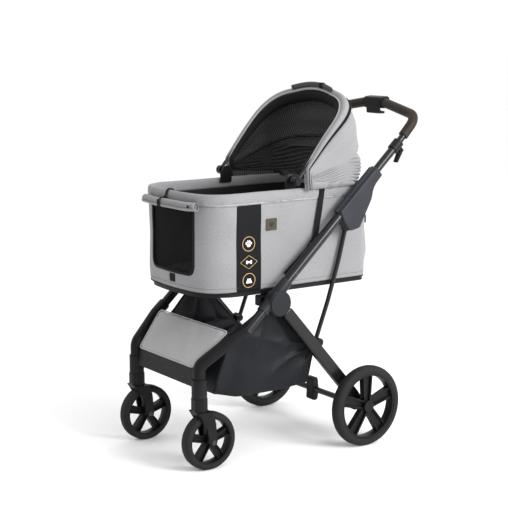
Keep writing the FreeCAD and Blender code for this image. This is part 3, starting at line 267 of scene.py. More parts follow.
FINISH = {
    "tube_black": powder_coat("tube_black", (0.005, 0.0052, 0.006), 0.26),
    "slate_plastic": moulded("slate_plastic", SLATE, 0.40),
    "black_plastic": moulded("black_plastic", BLACK, 0.42),
    "tyre_black": rubber("tyre_black", (0.008, 0.008, 0.0088)),
    "leather_brown": leather("leather_brown", (0.024, 0.0155, 0.0115)),
    "patch_leather": leather("patch_leather", (0.066, 0.053, 0.045), 420.0),
    "grey_fabric": woven("grey_fabric", GREY_CLOTH, GREY_DARK, 0.0013),
    "black_fabric": woven("black_fabric", (0.009, 0.0095, 0.011), (0.004, 0.004, 0.0045), 0.0014, 0.8, 0.6,
                          sheen=0.01),
    "black_mesh": netting("black_mesh", (0.0065, 0.0065, 0.007), (0.0012, 0.0012, 0.0012), 0.0030, 0.2, 0.3),
    "steel": metal("steel", (0.07, 0.07, 0.074), 0.38),
}
bracket_plastic = moulded("bracket_plastic", BRACKET, 0.42)
grey_piping = woven("grey_piping", (0.40, 0.40, 0.41), (0.29, 0.29, 0.30), 0.0009)
slate_fabric = woven("slate_fabric", (0.0075, 0.0085, 0.0115), (0.0035, 0.004, 0.0052), 0.0014, 0.5, 0.4,
                     sheen=0.01, gloss=0.16)
lining_cloth = woven("lining_cloth", (0.022, 0.022, 0.024), (0.011, 0.011, 0.012), 0.0016, sheen=0.02)
cushion_cloth = woven("cushion_cloth", (0.105, 0.105, 0.11), (0.060, 0.060, 0.063), 0.0018, coords="Object")
# Painted light: a lighter copy of the grey wall cloth for the basket's front panel, so the panel shows
# brighter than the same cloth elsewhere.
lit_panel_cloth = woven("lit_panel_cloth", (0.36, 0.36, 0.366), (0.25, 0.25, 0.256), 0.0013, coords="Object")
webbing = woven("webbing", (0.009, 0.009, 0.010), (0.0035, 0.0035, 0.004), 0.0017, 0.7, 0.9, rib=0.5,
                sheen=0.01)
canopy_net = netting("canopy_net", (0.100, 0.100, 0.104), (0.003, 0.003, 0.003), 0.0068, -0.1, 0.0)
roll_net = netting("roll_net", (0.085, 0.086, 0.09), (0.030, 0.030, 0.032), 0.0028, 0.2, 0.0)
grey_thread = woven("grey_thread", (0.11, 0.11, 0.115), (0.07, 0.07, 0.073), 0.0004)
black_thread = woven("black_thread", (0.022, 0.022, 0.024), (0.010, 0.010, 0.011), 0.0004, sheen=0.02)
tan_thread = woven("tan_thread", (0.17, 0.13, 0.10), (0.10, 0.075, 0.06), 0.0004)
gold_print = moulded("gold_print", (0.52, 0.34, 0.15), 0.45, 1500.0, 0.15, 1.2)
white_print = moulded("white_print", (0.72, 0.71, 0.69), 0.55, 1500.0, 0.15, 1.1)


# ---------------------------------------------------------------- mesh helpers

def corner_path(points, radii, closed=True, step=4.0):
    """Points along a polygon whose corners are rounded to the given radii."""
    count = len(points)
    points = [Vector(p) for p in points]
    path = []
    for k, (point, radius) in enumerate(zip(points, radii)):
        if radius <= 0 or (not closed and k in (0, count - 1)):
            path.append(point)
            continue
        before, after = points[k - 1] - point, points[(k + 1) % count] - point
        turn = math.pi - before.angle(after)
        if turn < 1e-4:
            path.append(point)
            continue
        cut = min(radius * math.tan(turn / 2), 0.49 * before.length, 0.49 * after.length)
        start, end = point + before.normalized() * cut, point + after.normalized() * cut
        pieces = max(2, int(cut * turn / step) + 2)
        for m in range(pieces + 1):
            t = m / pieces
            path.append(start * (1 - t) ** 2 + point * 2 * t * (1 - t) + end * t * t)
    return path


def even(path, count, closed=False):
    """The path again, as evenly spaced points."""
    loop = path + path[:1] if closed else path
    reach = [0.0]
    for a, b in zip(loop, loop[1:]):
        reach.append(reach[-1] + (b - a).length)
    steps = count if closed else count - 1
    made, k = [], 0
    for i in range(count):
        goal = reach[-1] * i / steps
        while k < len(reach) - 2 and reach[k + 1] < goal:
            k += 1
        span = reach[k + 1] - reach[k]
        made.append(loop[k].lerp(loop[k + 1], (goal - reach[k]) / span if span > 0 else 0.0))
    return made


def rounded(points, radii, count, closed=False):
    """A polygon with rounded corners, as evenly spaced points."""
    return even(corner_path(points, radii, closed), count, closed)


def length_of(path):
    return sum((b - a).length for a, b in zip(path, path[1:]))


def mesh_object(name, verts, faces, material, uvs=None):
    """An object from points in millimetres, smooth shaded, with its UVs in metres."""
    mesh = bpy.data.meshes.new(name)
    mesh.from_pydata([to_frame(v) for v in verts], [], faces)
    layer = mesh.uv_layers.new(name="UVMap")
    if uvs is None:
        for loop in mesh.loops:
            place = mesh.vertices[loop.vertex_index].co
            layer.data[loop.index].uv = (place.x + place.y, place.z)
    else:
        for loop, uv in zip(mesh.loops, uvs):
            layer.data[loop.index].uv = (uv[0] * 0.001, uv[1] * 0.001)
    mesh.polygons.foreach_set("use_smooth", [True] * len(mesh.polygons))
    mesh.materials.append(material)
    made = bpy.data.objects.new(name, mesh)
    bpy.context.scene.collection.objects.link(made)
    return made


def recalc(made):
    """Drops loose points, and points the normals outward."""
    work = bmesh.new()
    work.from_mesh(made.data)
    loose = [v for v in work.verts if not v.link_faces]
    bmesh.ops.delete(work, geom=loose, context="VERTS")
    bmesh.ops.recalc_face_normals(work, faces=work.faces)
    work.to_mesh(made.data)
    work.free()
    return made


def thicken(made, thickness, offset=-1.0):
    """Gives a sheet its cloth's thickness, in millimetres."""
    solid = made.modifiers.new("Thickness", "SOLIDIFY")
    solid.thickness = thickness * 0.001
    solid.offset = offset
    return made


def skin(name, rows, material, wrap=False, loop=False, keep=None):
    """A sheet through rows of points. wrap joins the ends of each row, loop the last row to the first."""
    count = len(rows[0])
    along, across = [0.0], [0.0]
    middle = rows[len(rows) // 2]
    for a, b in zip(middle, middle[1:] + middle[:1]):
        along.append(along[-1] + (b - a).length)
    for row, after in zip(rows, rows[1:] + rows[:1]):
        across.append(across[-1] + (after[count // 3] - row[count // 3]).length)
    faces, uvs = [], []
    for i in range(len(rows) if loop else len(rows) - 1):
        for j in range(count if wrap else count - 1):
            k, n = (j + 1) % count, (i + 1) % len(rows)
            face = (i * count + j, i * count + k, n * count + k, n * count + j)
            if keep and not keep(sum((rows[m // count][m % count] for m in face), Vector()) / 4):
                continue
            faces.append(face)
            uvs += [(along[j], across[i]), (along[j + 1], across[i]),
                    (along[j + 1], across[i + 1]), (along[j], across[i + 1])]
    made = mesh_object(name, [p for row in rows for p in row], faces, material, uvs)
    return recalc(made)


def grid(rows, columns, point):
    """Rows of points for skin: point(up, along) gives each, for shares from 0 to 1 both ways."""
    return [[point(m / (rows - 1), k / (columns - 1)) for k in range(columns)] for m in range(rows)]


def rings_along(path, section, closed=False, up=Vector((0, 0, 1))):
    """Copies of a section along a path. section(t) gives points across and up, at a share t of the path."""
    count = len(path)
    rows = []
    side = None
    for k, point in enumerate(path):
        before = path[k - 1] if k or closed else point
        after = path[(k + 1) % count] if k < count - 1 or closed else point
        along = (after - before).normalized()
        side = along.cross(up).normalized() if side is None else (side - along * side.dot(along)).normalized()
        above = side.cross(along)
        rows.append([point + side * a + above * b for a, b in section(k / max(1, count - 1))])
    return rows


def ellipse(cx, cy, rx, ry, count=20):
    """An ellipse's outline round a centre."""
    return [(cx + rx * math.cos(2 * math.pi * k / count), cy + ry * math.sin(2 * math.pi * k / count))
            for k in range(count)]


def tube(name, path, radius, material, closed=False, sides=12, up=Vector((0, 0, 1))):
    """A round cord or bar along a path, with rounded ends. radius is a number, or a function of t."""
    if not closed:
        first, last = path[0] - path[1], path[-1] - path[-2]
        size = radius if not callable(radius) else radius(0.0)
        cap = [0.0, 0.45, 0.8, 1.0]
        lead = [path[0] + first.normalized() * size * 0.5 * (1 - c) for c in cap]
        tail = [path[-1] + last.normalized() * size * 0.5 * (1 - c) for c in reversed(cap)]
        scale = [max(0.05, math.sqrt(c)) for c in cap]
        path = lead + path[1:-1] + tail
        scales = scale + [1.0] * (len(path) - 8) + scale[::-1]
    else:
        scales = [1.0] * len(path)
    total = len(path)

    def section(t):
        k = min(total - 1, int(round(t * (total - 1))))
        size = radius(t) if callable(radius) else radius
        return ellipse(0, 0, size * scales[k], size * scales[k], sides)

    rows = rings_along(path, section, closed, up)
    made = skin(name, rows, material, wrap=True, loop=closed)
    if not closed:
        cap_ends(made)
    return made


def cap_ends(made):
    """Closes the open ends of a tube."""
    work = bmesh.new()
    work.from_mesh(made.data)
    bmesh.ops.holes_fill(work, edges=[e for e in work.edges if e.is_boundary], sides=0)
    bmesh.ops.recalc_face_normals(work, faces=work.faces)
    for face in work.faces:
        face.smooth = True
    work.to_mesh(made.data)
    work.free()


def joined(name, parts):
    """Joins several objects' meshes into one piece."""
    with bpy.context.temp_override(active_object=parts[0], selected_editable_objects=parts):
        bpy.ops.object.join()
    parts[0].name = name
    parts[0].data.name = name
    return parts[0]


def stitches(name, path, material, pitch=4.2, length=2.8, radius=0.45, closed=False, lift=0.0):
    """Short raised stitches in a row along a path."""
    verts, faces = [], []
    total = length_of(path + path[:1] if closed else path)
    count = max(2, int(total / pitch))
    points = even(path, count + (0 if closed else 1), closed)
    for k, point in enumerate(points[:count]):
        along = (points[(k + 1) % len(points)] - point).normalized()
        side = along.cross(Vector((0.31, 0.52, 0.79))).normalized()
        above = side.cross(along)
        base = len(verts)
        for step, size in ((0.0, 0.35), (0.25, 1.0), (0.75, 1.0), (1.0, 0.35)):
            place = point + along * length * step
            verts += [place + side * a + above * b
                      for a, b in ellipse(0, 0, radius * size, radius * size, 6)]
        for ring in range(3):
            for turn in range(6):
                a, b = base + ring * 6 + turn, base + ring * 6 + (turn + 1) % 6
                faces.append((a, b, b + 6, a + 6))
        faces.append(tuple(base + 5 - turn for turn in range(6)))
        faces.append(tuple(base + 18 + turn for turn in range(6)))
    return recalc(mesh_object(name, verts, faces, material))


def slab(name, outline, place, thickness, material, bevel=0.4):
    """A thin flat shape. place(a, b, lift) turns its plane's coordinates into a point."""
    count = len(outline)
    verts = [place(a, b, 0.0) for a, b in outline] + [place(a, b, thickness) for a, b in outline]
    faces = [tuple(range(count, 2 * count)), tuple(reversed(range(count)))]
    faces += [(k, (k + 1) % count, count + (k + 1) % count, count + k) for k in range(count)]
    made = recalc(mesh_object(name, verts, faces, material))
    if bevel:
        edge = made.modifiers.new("Bevel", "BEVEL")
        edge.width = bevel * 0.001
        edge.segments = 2
        edge.limit_method = "ANGLE"
    made.data.polygons.foreach_set("use_smooth", [False] * len(made.data.polygons))
    return made


def rounded_box(name, centre, size, material, radius):
    """A small moulded block with all its edges rounded."""
    half = Vector(size) / 2
    verts = [Vector(centre) + Vector((half.x * x, half.y * y, half.z * z))
             for x in (-1, 1) for y in (-1, 1) for z in (-1, 1)]
    faces = [(0, 1, 3, 2), (4, 6, 7, 5), (0, 4, 5, 1), (2, 3, 7, 6), (0, 2, 6, 4), (1, 5, 7, 3)]
    made = recalc(mesh_object(name, verts, faces, material))
    edge = made.modifiers.new("Bevel", "BEVEL")
    edge.width = radius * 0.001
    edge.segments = 4
    return made


def softened(made):
    """Smooths a piece by one level of subdivision."""
    made.modifiers.new("Fine", "SUBSURF").levels = 1
    made.modifiers["Fine"].render_levels = 1
    return made


def applied(made):
    """Bakes an object's modifiers into its mesh."""
    depsgraph = bpy.context.evaluated_depsgraph_get()
    mesh = bpy.data.meshes.new_from_object(made.evaluated_get(depsgraph))
    made.modifiers.clear()
    made.data = mesh
    return made


def puff(made, voxel, pressure, cap, only=None):
    """Remeshes a closed shape, inflates it with the cloth solver, and limits how far a point may move.

    With a direction in only, points keep just the part of their move along it, so the outline stays.
    """
    remesh = made.modifiers.new("Voxels", "REMESH")
    remesh.mode = "VOXEL"
    remesh.voxel_size = voxel * 0.001
    applied(made)
    rest = [v.co.copy() for v in made.data.vertices]
    cloth = made.modifiers.new("Cloth", "CLOTH")
    cloth.settings.use_pressure = True
    cloth.settings.uniform_pressure_force = pressure
    cloth.settings.effector_weights.gravity = 0.0
    cloth.settings.quality = 5
    cloth.point_cache.frame_start = 1
    cloth.point_cache.frame_end = 20
    for step in range(1, 21):
        bpy.context.scene.frame_set(step)
    applied(made)
    bpy.context.scene.frame_set(1)
    for vertex, start in zip(made.data.vertices, rest):
        moved = vertex.co - start
        if only:
            moved = only * moved.dot(only)
            vertex.co = start + moved
        if moved.length > cap * 0.001:
            vertex.co = start + moved.normalized() * cap * 0.001
    made.data.polygons.foreach_set("use_smooth", [True] * len(made.data.polygons))
    return made


def carried(body, *pieces, slot=None):
    """Rides pieces on a body. slot is not used."""
    for piece in pieces:
        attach(piece, body)
    return pieces[0]


# ---------------------------------------------------------------- hard parts, from the CAD

SLOT_OF = {entry["node"]: entry["material_slot"] for entry in frame["record"]["subparts"]}
for name, node in nodes.items():
    finish = FINISH.get(SLOT_OF.get(name), FINISH["black_plastic"])
    if not node.material_slots:
        node.data.materials.append(finish)
    if name.startswith("slider_housing"):
        finish = bracket_plastic
    for holder in node.material_slots:
        holder.material = finish


# ---------------------------------------------------------------- carrier

HALF, FRONT, REAR = 183.0, -508.0, 60.0
CROWN = 9.0
FRONT_CORNER, REAR_CORNER = 112.0, 34.0
BASE_TOP, WALL_TOP, RIM_TOP = 492.4, 738.0, 768.0
WINDOW_X, WINDOW_HALF, WINDOW_LOW, WINDOW_HIGH, WINDOW_CORNER = 6.0, 105.0, 540.0, 722.0, 26.0
COLUMNS = 320


def plan(outset=0.0, count=COLUMNS):
    """The carrier's outline in plan as even points, drawn out by an outset."""
    half, front, rear = HALF + outset, FRONT - outset, REAR + outset
    corners = [(-half, front + CROWN), (0, front - CROWN), (half, front + CROWN), (half, rear), (-half, rear)]
    radii = [FRONT_CORNER + outset, 500, FRONT_CORNER + outset, REAR_CORNER + outset, REAR_CORNER + outset]
    return rounded(corners, radii, count, closed=True)


def outward(points):
    """The outward direction at each point of a closed outline."""
    count = len(points)
    found = []
    for k in range(count):
        along = points[(k + 1) % count] - points[k - 1]
        found.append(Vector((along.y, -along.x)).normalized())
    return found


PLAN = plan()
PLAN_OUT = outward(PLAN)


def off_plan(z, away):
    """The carrier's outline at a height, moved outward by away(point) at each point."""
    return [Vector((p.x + out.x * away(p), p.y + out.y * away(p), z)) for p, out in zip(PLAN, PLAN_OUT)]


def front_y(x):
    """Where the front wall stands at an x."""
    near = [p for p in PLAN if p.y < FRONT + FRONT_CORNER]
    return min(near, key=lambda p: abs(p.x - x)).y


def window_distance(x, z):
    """How far a point of the front wall is outside the window's edge; negative inside."""
    middle, tall = (WINDOW_LOW + WINDOW_HIGH) / 2, (WINDOW_HIGH - WINDOW_LOW) / 2
    corner = WINDOW_CORNER if z < middle else 4.0
    dx, dz = abs(x - WINDOW_X) - WINDOW_HALF + corner, abs(z - middle) - tall + corner
    outside = math.hypot(max(dx, 0.0), max(dz, 0.0))
    return outside + min(max(dx, dz), 0.0) - corner


def clear_of_window(margin):
    """A test for faces that stay when the window is cut out."""
    return lambda centre: centre.y > FRONT + 40 or window_distance(centre.x, centre.z) > margin


def wall_swell(x, y, z):
    """How far the carrier's cloth stands off its outline: dents, puckers below the rim, a turned base."""
    place = Vector((x, y, z))
    dents = 3.0 * noise.noise(place * 0.0105) * smooth(BASE_TOP, BASE_TOP + 40, z)
    pucker = 1.8 * wave(x * 0.05, y * 0.05, z * 0.008)
    pucker *= smooth(WALL_TOP - 42, WALL_TOP - 6, z)
    ripple = 1.3 * wave(x * 0.05, y * 0.05, 3.7) * smooth(BASE_TOP + 40, BASE_TOP + 8, z)
    seam = -0.8 * math.exp(-(((z - BASE_TOP - 12) / 2.0) ** 2))
    turned = -2.6 * smooth(BASE_TOP + 7, BASE_TOP, z)
    return dents + pucker + ripple + seam + turned - 0.4


def carrier_wall():
    """The carrier's cloth wall, one sheet all round with the window cut out of its front."""
    rows = []
    for step in range(45):
        z = BASE_TOP + (WALL_TOP - BASE_TOP) * step / 44
        row = []
        for point, out in zip(PLAN, PLAN_OUT):
            x, height = point.x, z
            if point.y < FRONT + 40 and abs(window_distance(x, z)) < 3.4:
                gap = window_distance(x, z)
                ahead = Vector((window_distance(x + 0.5, z) - gap, window_distance(x, z + 0.5) - gap)) / 0.5
                x, height = x - ahead.x * gap, z - ahead.y * gap
            swell = wall_swell(point.x, point.y, height)
            row.append(Vector((x + out.x * swell, point.y + out.y * swell, height)))
        rows.append(row)
    made = skin("wall_cloth", rows, FINISH["grey_fabric"], wrap=True, keep=clear_of_window(0.2))
    return thicken(made, 1.6)


def outline_at(z, outset):
    """The carrier's outline at a height, standing a little off the cloth."""
    return off_plan(z, lambda p: wall_swell(p.x, p.y, z) + outset)


def wall_frame(x, z, outset):
    """A point on the front wall."""
    y = front_y(x)
    return Vector((x, y - wall_swell(x, y, z) - outset, z))


def window_outline(grow):
    """The window's edge on the front wall, as a closed path."""
    low_x, high_x = WINDOW_X - WINDOW_HALF - grow, WINDOW_X + WINDOW_HALF + grow
    corners = [(low_x, WINDOW_HIGH + grow), (low_x, WINDOW_LOW - grow), (high_x, WINDOW_LOW - grow),
               (high_x, WINDOW_HIGH + grow)]
    return rounded(corners, [3, WINDOW_CORNER + grow, WINDOW_CORNER + grow, 3], 190, closed=True)


def window_net():
    """The net behind the window's opening, slightly slack."""
    def point(up, along):
        x = WINDOW_X + (WINDOW_HALF + 5) * (2 * along - 1)
        z = WINDOW_LOW - 5 + (WINDOW_HIGH - WINDOW_LOW + 9) * up
        slack = 2.2 * math.cos((x - WINDOW_X) / WINDOW_HALF * 1.4) * math.sin(math.pi * up)
        slack += 0.6 * wave(x * 0.03, 0, z * 0.03)
        return Vector((x, front_y(x) + 2.8 + slack, z))

    return skin("window_net", grid(33, 41, point), FINISH["black_mesh"])


def window_binding():
    """The black tape that binds the window's edge."""
    inner, outer = window_outline(-4.0), window_outline(3.4)
    rows = []
    for share, lift in ((0.0, -1.2), (0.0, 0.6), (0.5, 1.15), (1.0, 0.7), (1.0, -0.6)):
        rows.append([
            wall_frame(a.x + (b.x - a.x) * share, a.y + (b.y - a.y) * share, lift)
            for a, b in zip(inner, outer)
        ])
    return skin("window_binding", rows, webbing, wrap=True)


def rim_band():
    """The padded band round the carrier's top, puckered along its lower seam."""
    section = [(-0.6, WALL_TOP - 1.5), (2.6, WALL_TOP + 0.5), (4.4, WALL_TOP + 6), (5.2, WALL_TOP + 13),
               (4.6, WALL_TOP + 21), (1.6, RIM_TOP - 2.4), (-3.0, RIM_TOP + 0.4), (-8.0, RIM_TOP - 1.2),
               (-11.8, RIM_TOP - 7), (-13.2, RIM_TOP - 16), (-12.4, WALL_TOP + 3), (-8.5, WALL_TOP - 1.0)]
    section = [tuple(p) for p in even([Vector(p) for p in section], 30, closed=True)]
    rows = []
    for off, z in section:
        row = []
        for k, (point, out) in enumerate(zip(PLAN, PLAN_OUT)):
            low = smooth(WALL_TOP + 20, WALL_TOP + 1, z)
            pinch = wave(point.x * 0.085, point.y * 0.085, z * 0.02)
            soft = wave(point.x * 0.022, point.y * 0.022, z * 0.03 + 9.0)
            away = off + (2.3 * pinch * low + 2.0 * soft) * (1 if off > -6 else 0.6)
            lift = 1.1 * soft * smooth(WALL_TOP + 8, RIM_TOP, z)
            row.append(Vector((point.x + out.x * away, point.y + out.y * away, z + lift)))
        rows.append(row)
    return skin("rim_padding", rows, FINISH["grey_fabric"], wrap=True, loop=True)


def lining():
    """The dark cloth on the inner side of the wall."""
    rows = []
    for step in range(21):
        z = BASE_TOP + 1 + (WALL_TOP - BASE_TOP + 2) * step / 20
        rows.append(off_plan(z, lambda p: -7.4 + 0.8 * wave(p.x * 0.02, p.y * 0.02, z * 0.012)))
    return thicken(skin("carrier_lining", rows, lining_cloth, wrap=True, keep=clear_of_window(3)), 1.0, 0.0)


wall = carrier_wall()
net = window_net()
binding = window_binding()
rim = rim_band()
inside = lining()
carried("carrier", wall, rim, slot="grey_fabric")
carried("carrier", net, slot="black_mesh")
carried("carrier", binding, inside, slot="black_fabric")
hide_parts("carrier_shell")
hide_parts("carrier_rim")
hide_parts("window_mesh")

TRAY_MIDDLE = (FRONT + REAR) / 2
floor_rows = []
for ring in range(12):
    share = 1 - ring / 12
    floor_rows.append([
        Vector((p.x * share, TRAY_MIDDLE + (p.y - TRAY_MIDDLE) * share,
                BASE_TOP + 1.4 + 0.5 * wave(p.x * 0.02 * share, p.y * 0.02 * share)))
        for p in plan(-3.0, 160)
    ])
tray_cloth = thicken(skin("tray_cloth", floor_rows, lining_cloth, wrap=True), 1.0, -1.0)
carried("carrier", tray_cloth, slot="black_fabric")

rim_seam = stitches("rim_stitches", outline_at(WALL_TOP - 5, 0.35), grey_thread, closed=True)
base_seam = stitches("base_stitches", outline_at(BASE_TOP + 13.0, 0.45), grey_thread, closed=True, radius=0.6)
base_piping = tube("base_piping", outline_at(BASE_TOP - 0.4, 0.9), 1.7, webbing, closed=True, sides=10)
rim_piping = tube("rim_piping", outline_at(WALL_TOP - 0.2, 1.0), 1.5, grey_piping, closed=True, sides=8)
carried("carrier", rim_seam, base_seam, rim_piping, slot="grey_fabric")
carried("carrier", base_piping, slot="black_fabric")


def rolled(name, path, turns, inner, outer, material, up, start=0.0, slant=0.0, squeeze=1.0, points=88):
    """A sheet rolled up along a path: a spiral section from an inner to an outer radius.

    slant is how far the outermost turn slips along the path at its far end.
    """
    def section(t):
        made = []
        for k in range(points):
            share = k / (points - 1)
            angle = start + 2 * math.pi * turns * share
            wobble = 0.35 * wave(t * 9, angle * 0.7, 1.3)
            radius = inner + (outer - inner) * share + wobble * share
            made.append((radius * math.cos(angle), radius * squeeze * math.sin(angle)))
        return made

    rows = rings_along(path, section, up=up)
    along = (path[-1] - path[-2]).normalized()
    for number, row in enumerate(rows):
        slip = slant * smooth(0.86, 1.0, number / (len(rows) - 1))
        for k, point in enumerate(row):
            row[k] = point + along * slip * (k / (points - 1)) ** 3
    return thicken(skin(name, rows, material), 0.9, 1.0)


def window_flap():
    """The window's flap, rolled up under the rim, with its tie, toggle and snap."""
    z, radius = WALL_TOP - 3.0, 13.4
    path = [Vector((x, front_y(x) - 5.4 - radius, z + 0.6 * math.sin(x * 0.05))) for x in
            [-112 + 248 * k / 60 for k in range(61)]]
    roll = rolled("window_flap", path, 3.1, 2.5, radius - 0.6, FINISH["grey_fabric"], Vector((0, 0, 1)),
                  start=-0.9, slant=11.0)
    middle = Vector((0, front_y(0) - 5.4 - radius, z))
    loop = [middle + Vector((1.6 * up / (radius + 2.0), out, up))
            for out, up in ellipse(0, 0, radius + 2.0, radius + 2.0, 28)]
    tie = tube("flap_tie", loop, 2.3, black_thread, closed=True, sides=8)
    face = front_y(0)
    over = corner_path(
        [(-2, middle.y + 6, z + radius + 3), (-2, face - 8.5, WALL_TOP + 18), (-2, face - 5, RIM_TOP + 1),
         (-2, face + 6, RIM_TOP + 4.2), (-2, face + 17, RIM_TOP - 2), (-2, face + 17, WALL_TOP + 6)],
        [0, 8, 8, 8, 8, 0], closed=False)
    loops = []
    for letter, aside in (("a", 0), ("b", 5)):
        cord = even([p + Vector((aside, 0, 0)) for p in over], 40)
        loops.append(tube("flap_loop_" + letter, cord, 2.1, black_thread, sides=8))
    toggle = tube("flap_toggle", [middle + Vector((0, -radius + 1 - 3, 9 - 3 * k)) for k in range(7)],
                  lambda t: 3.3 + 1.1 * math.sin(math.pi * t), FINISH["black_plastic"], up=Vector((1, 0, 0)))
    snap_at = path[-3] + Vector((0, -radius - 0.2, 1))
    snap = tube("flap_snap", [snap_at + Vector((0, -0.7 * k, 0)) for k in range(4)], 4.2,
                FINISH["black_plastic"], up=Vector((0, 0, 1)), sides=20)
    hem = stitches("flap_stitches", [p + Vector((0, -radius - 0.15, 4)) for p in path[3:-5]], grey_thread)
    return roll, tie, *loops, toggle, snap, hem


flap, *flap_bits = window_flap()
carried("carrier", flap, slot="grey_fabric")
carried("carrier", *flap_bits, slot="black_plastic")
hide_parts("window_roll")

TAB_X, TAB_HALF, TAB_DROP = 16, 13, 23


def tab_point(down, along):
    """A point of the pull tab below the window, which lies flatter towards its foot."""
    x, drop = TAB_HALF * (2 * along - 1), TAB_DROP * down
    lift = 1.6 - 0.6 * (drop / 22) ** 2 + 0.25 * math.cos(x * 0.9)
    return wall_frame(TAB_X + x, WINDOW_LOW - 6 - drop, lift)


tab = thicken(skin("window_tab", grid(9, 13, tab_point), webbing), 1.2, 0.0)
carried("carrier", tab, slot="black_fabric")


def side_x(y, z, sign=1):
    """Where the cloth of a side wall stands, round the front corner too."""
    into = max(0.0, FRONT + CROWN + FRONT_CORNER * 0.97 - y)
    turned = FRONT_CORNER - math.sqrt(FRONT_CORNER ** 2 - into ** 2)
    return sign * (HALF - turned + wall_swell(sign * HALF, y, z))


def on_side(y0, z0, sign=1, off=0.0):
    """Coordinates for a flat piece sewn to a side wall."""
    def place(a, b, lift):
        return Vector((side_x(y0 + a, z0 + b, sign) + sign * (lift + off), y0 + a, z0 + b))
    return place


def side_sheet(name, y_low, y_high, z_low, z_high, lift, material, thickness):
    """A strip of cloth sewn flat on the left side, with a turned hem all round."""
    def point(up, along):
        y, z = y_low + (y_high - y_low) * along, z_low + (z_high - z_low) * up
        hem = 0.5 * smooth(5.0, 3.2, min(y - y_low, y_high - y, z - z_low, z_high - z))
        return Vector((side_x(y, z) + lift + hem, y, z))

    return thicken(skin(name, grid(49, 17, point), material), thickness, 0.0)


LABEL = (-410.0, -329.0, 494.0, 734.0)
label = side_sheet("label_cloth", *LABEL, 0.9, FINISH["black_fabric"], 0.8)
y_low, y_high, z_low, z_high = [edge + turn for edge, turn in zip(LABEL, (3, -3, 3, -3))]
label_corners = [(y_low, z_low), (y_high, z_low), (y_high, z_high), (y_low, z_high)]
label_line = rounded(label_corners, [0] * 4, 150, closed=True)
label_seam = stitches("label_stitches", [Vector((side_x(p.x, p.y) + 1.9, p.x, p.y)) for p in label_line],
                      black_thread, pitch=3.4, length=2.3, radius=0.35, closed=True)
carried("carrier", label, label_seam, slot="black_fabric")
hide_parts("label_strip")


def ring_of(radius, count=40, corner=None):
    """A ring's outline: round, or a diamond when corner gives its upright half."""
    if corner is None:
        return ellipse(0, 0, radius, radius, count)
    tips = [(radius, 0), (0, corner), (-radius, 0), (0, -corner)]
    return [tuple(p) for p in rounded(tips, [1.5] * 4, count, closed=True)]


def badge(index, z, glyph, diamond):
    """A ringed emblem on the label, with a plain pet-care glyph in it."""
    y, off = (LABEL[0] + LABEL[1]) / 2, 1.5
    place = on_side(y, z, 1, off)
    radius, corner = (29.0, 19.5) if diamond else (20.8, None)
    outer, inner = ring_of(radius, 40, corner), ring_of(radius - 1.5, 40, corner and corner - 1.2)
    rows = [[place(a, b, lift) for a, b in line] for line, lift in
            ((outer, 0.0), (outer, 0.35), (inner, 0.35), (inner, 0.0))]
    parts = [skin("badge_ring_%d" % index, rows, gold_print, wrap=True)]
    marks = [slab("badge_mark_%d_%d" % (index, k), [(a * 1.1, b * 1.1) for a, b in outline], place, 0.4,
                  white_print, 0.1)
             for k, outline in enumerate(glyph)]
    parts.append(joined("badge_glyph_%d" % index, marks))
    return parts


PAW = [ellipse(0, -3.4, 5.6, 4.4), ellipse(-7.2, 1.6, 2.2, 3.0), ellipse(-2.6, 5.8, 2.2, 3.2),
       ellipse(2.8, 5.8, 2.2, 3.2), ellipse(7.4, 1.6, 2.2, 3.0)]
BONE = [ellipse(-6.2, 2.0, 2.6, 2.6), ellipse(-6.2, -2.0, 2.6, 2.6), ellipse(6.2, 2.0, 2.6, 2.6),
        ellipse(6.2, -2.0, 2.6, 2.6), [(-6, -1.9), (6, -1.9), (6, 1.9), (-6, 1.9)]]
BOWL = [[(-9, -7), (9, -7), (6.6, 0.5), (-6.6, 0.5)], ellipse(-3.2, 3.0, 2.4, 2.0),
        ellipse(3.0, 3.2, 2.4, 2.0)]
for number, (height, glyph, diamond) in enumerate(
        ((626.0, PAW, False), (575.0, BONE, True), (523.5, BOWL, False))):
    ring, marks = badge(number, height, glyph, diamond)
    carried("carrier", ring, marks, slot="black_fabric")

PATCH = (-293.0, 674.0, 19.0, 17.0)
patch_place = on_side(PATCH[0], PATCH[1], 1, 0.1)
patch_corners = [(-PATCH[2], -PATCH[3]), (PATCH[2], -PATCH[3]), (PATCH[2], PATCH[3]), (-PATCH[2], PATCH[3])]
patch_shape = [tuple(p) for p in rounded(patch_corners, [3] * 4, 60, closed=True)]
patch = slab("patch", patch_shape, patch_place, 1.8, FINISH["patch_leather"], 0.5)
patch_seam = stitches(
    "patch_stitches", [patch_place(a * 0.86, b * 0.85, 1.95) for a, b in patch_shape], tan_thread,
    pitch=3.0, length=2.0, radius=0.35, closed=True)
mark_place = on_side(PATCH[0], PATCH[1], 1, 1.9)
mark_bits = [slab("patch_mark_%d" % k, [(a * 0.9, b * 0.9) for a, b in outline], mark_place, 0.25,
                  FINISH["leather_brown"], 0.0) for k, outline in enumerate(PAW)]
patch_mark = joined("patch_paw", mark_bits)
carried("carrier", patch, patch_seam, patch_mark, slot="patch_leather")
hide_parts("leather_patch")


def strap_on_side(name, sign, points, radii, width, lift, thickness=1.5):
    """Webbing that runs down a side wall along a bent line, with thicker selvedges."""
    line = rounded(points, radii, 70)
    rows = []
    for k, point in enumerate(line):
        along = (line[min(k + 1, len(line) - 1)] - line[max(k - 1, 0)]).normalized()
        across = Vector((-along.y, along.x))
        row = []
        for m in range(11):
            share = m / 5 - 1
            place = point + across * share * width / 2
            ridge = 0.35 * abs(share) ** 6
            stand = max(lift, lift + wall_swell(sign * HALF, place.x, min(place.y, WALL_TOP - 1)))
            row.append(Vector((sign * (HALF + stand + ridge), place.x, place.y)))
        rows.append(row)
    return thicken(skin(name, rows, webbing), thickness, 0.0)


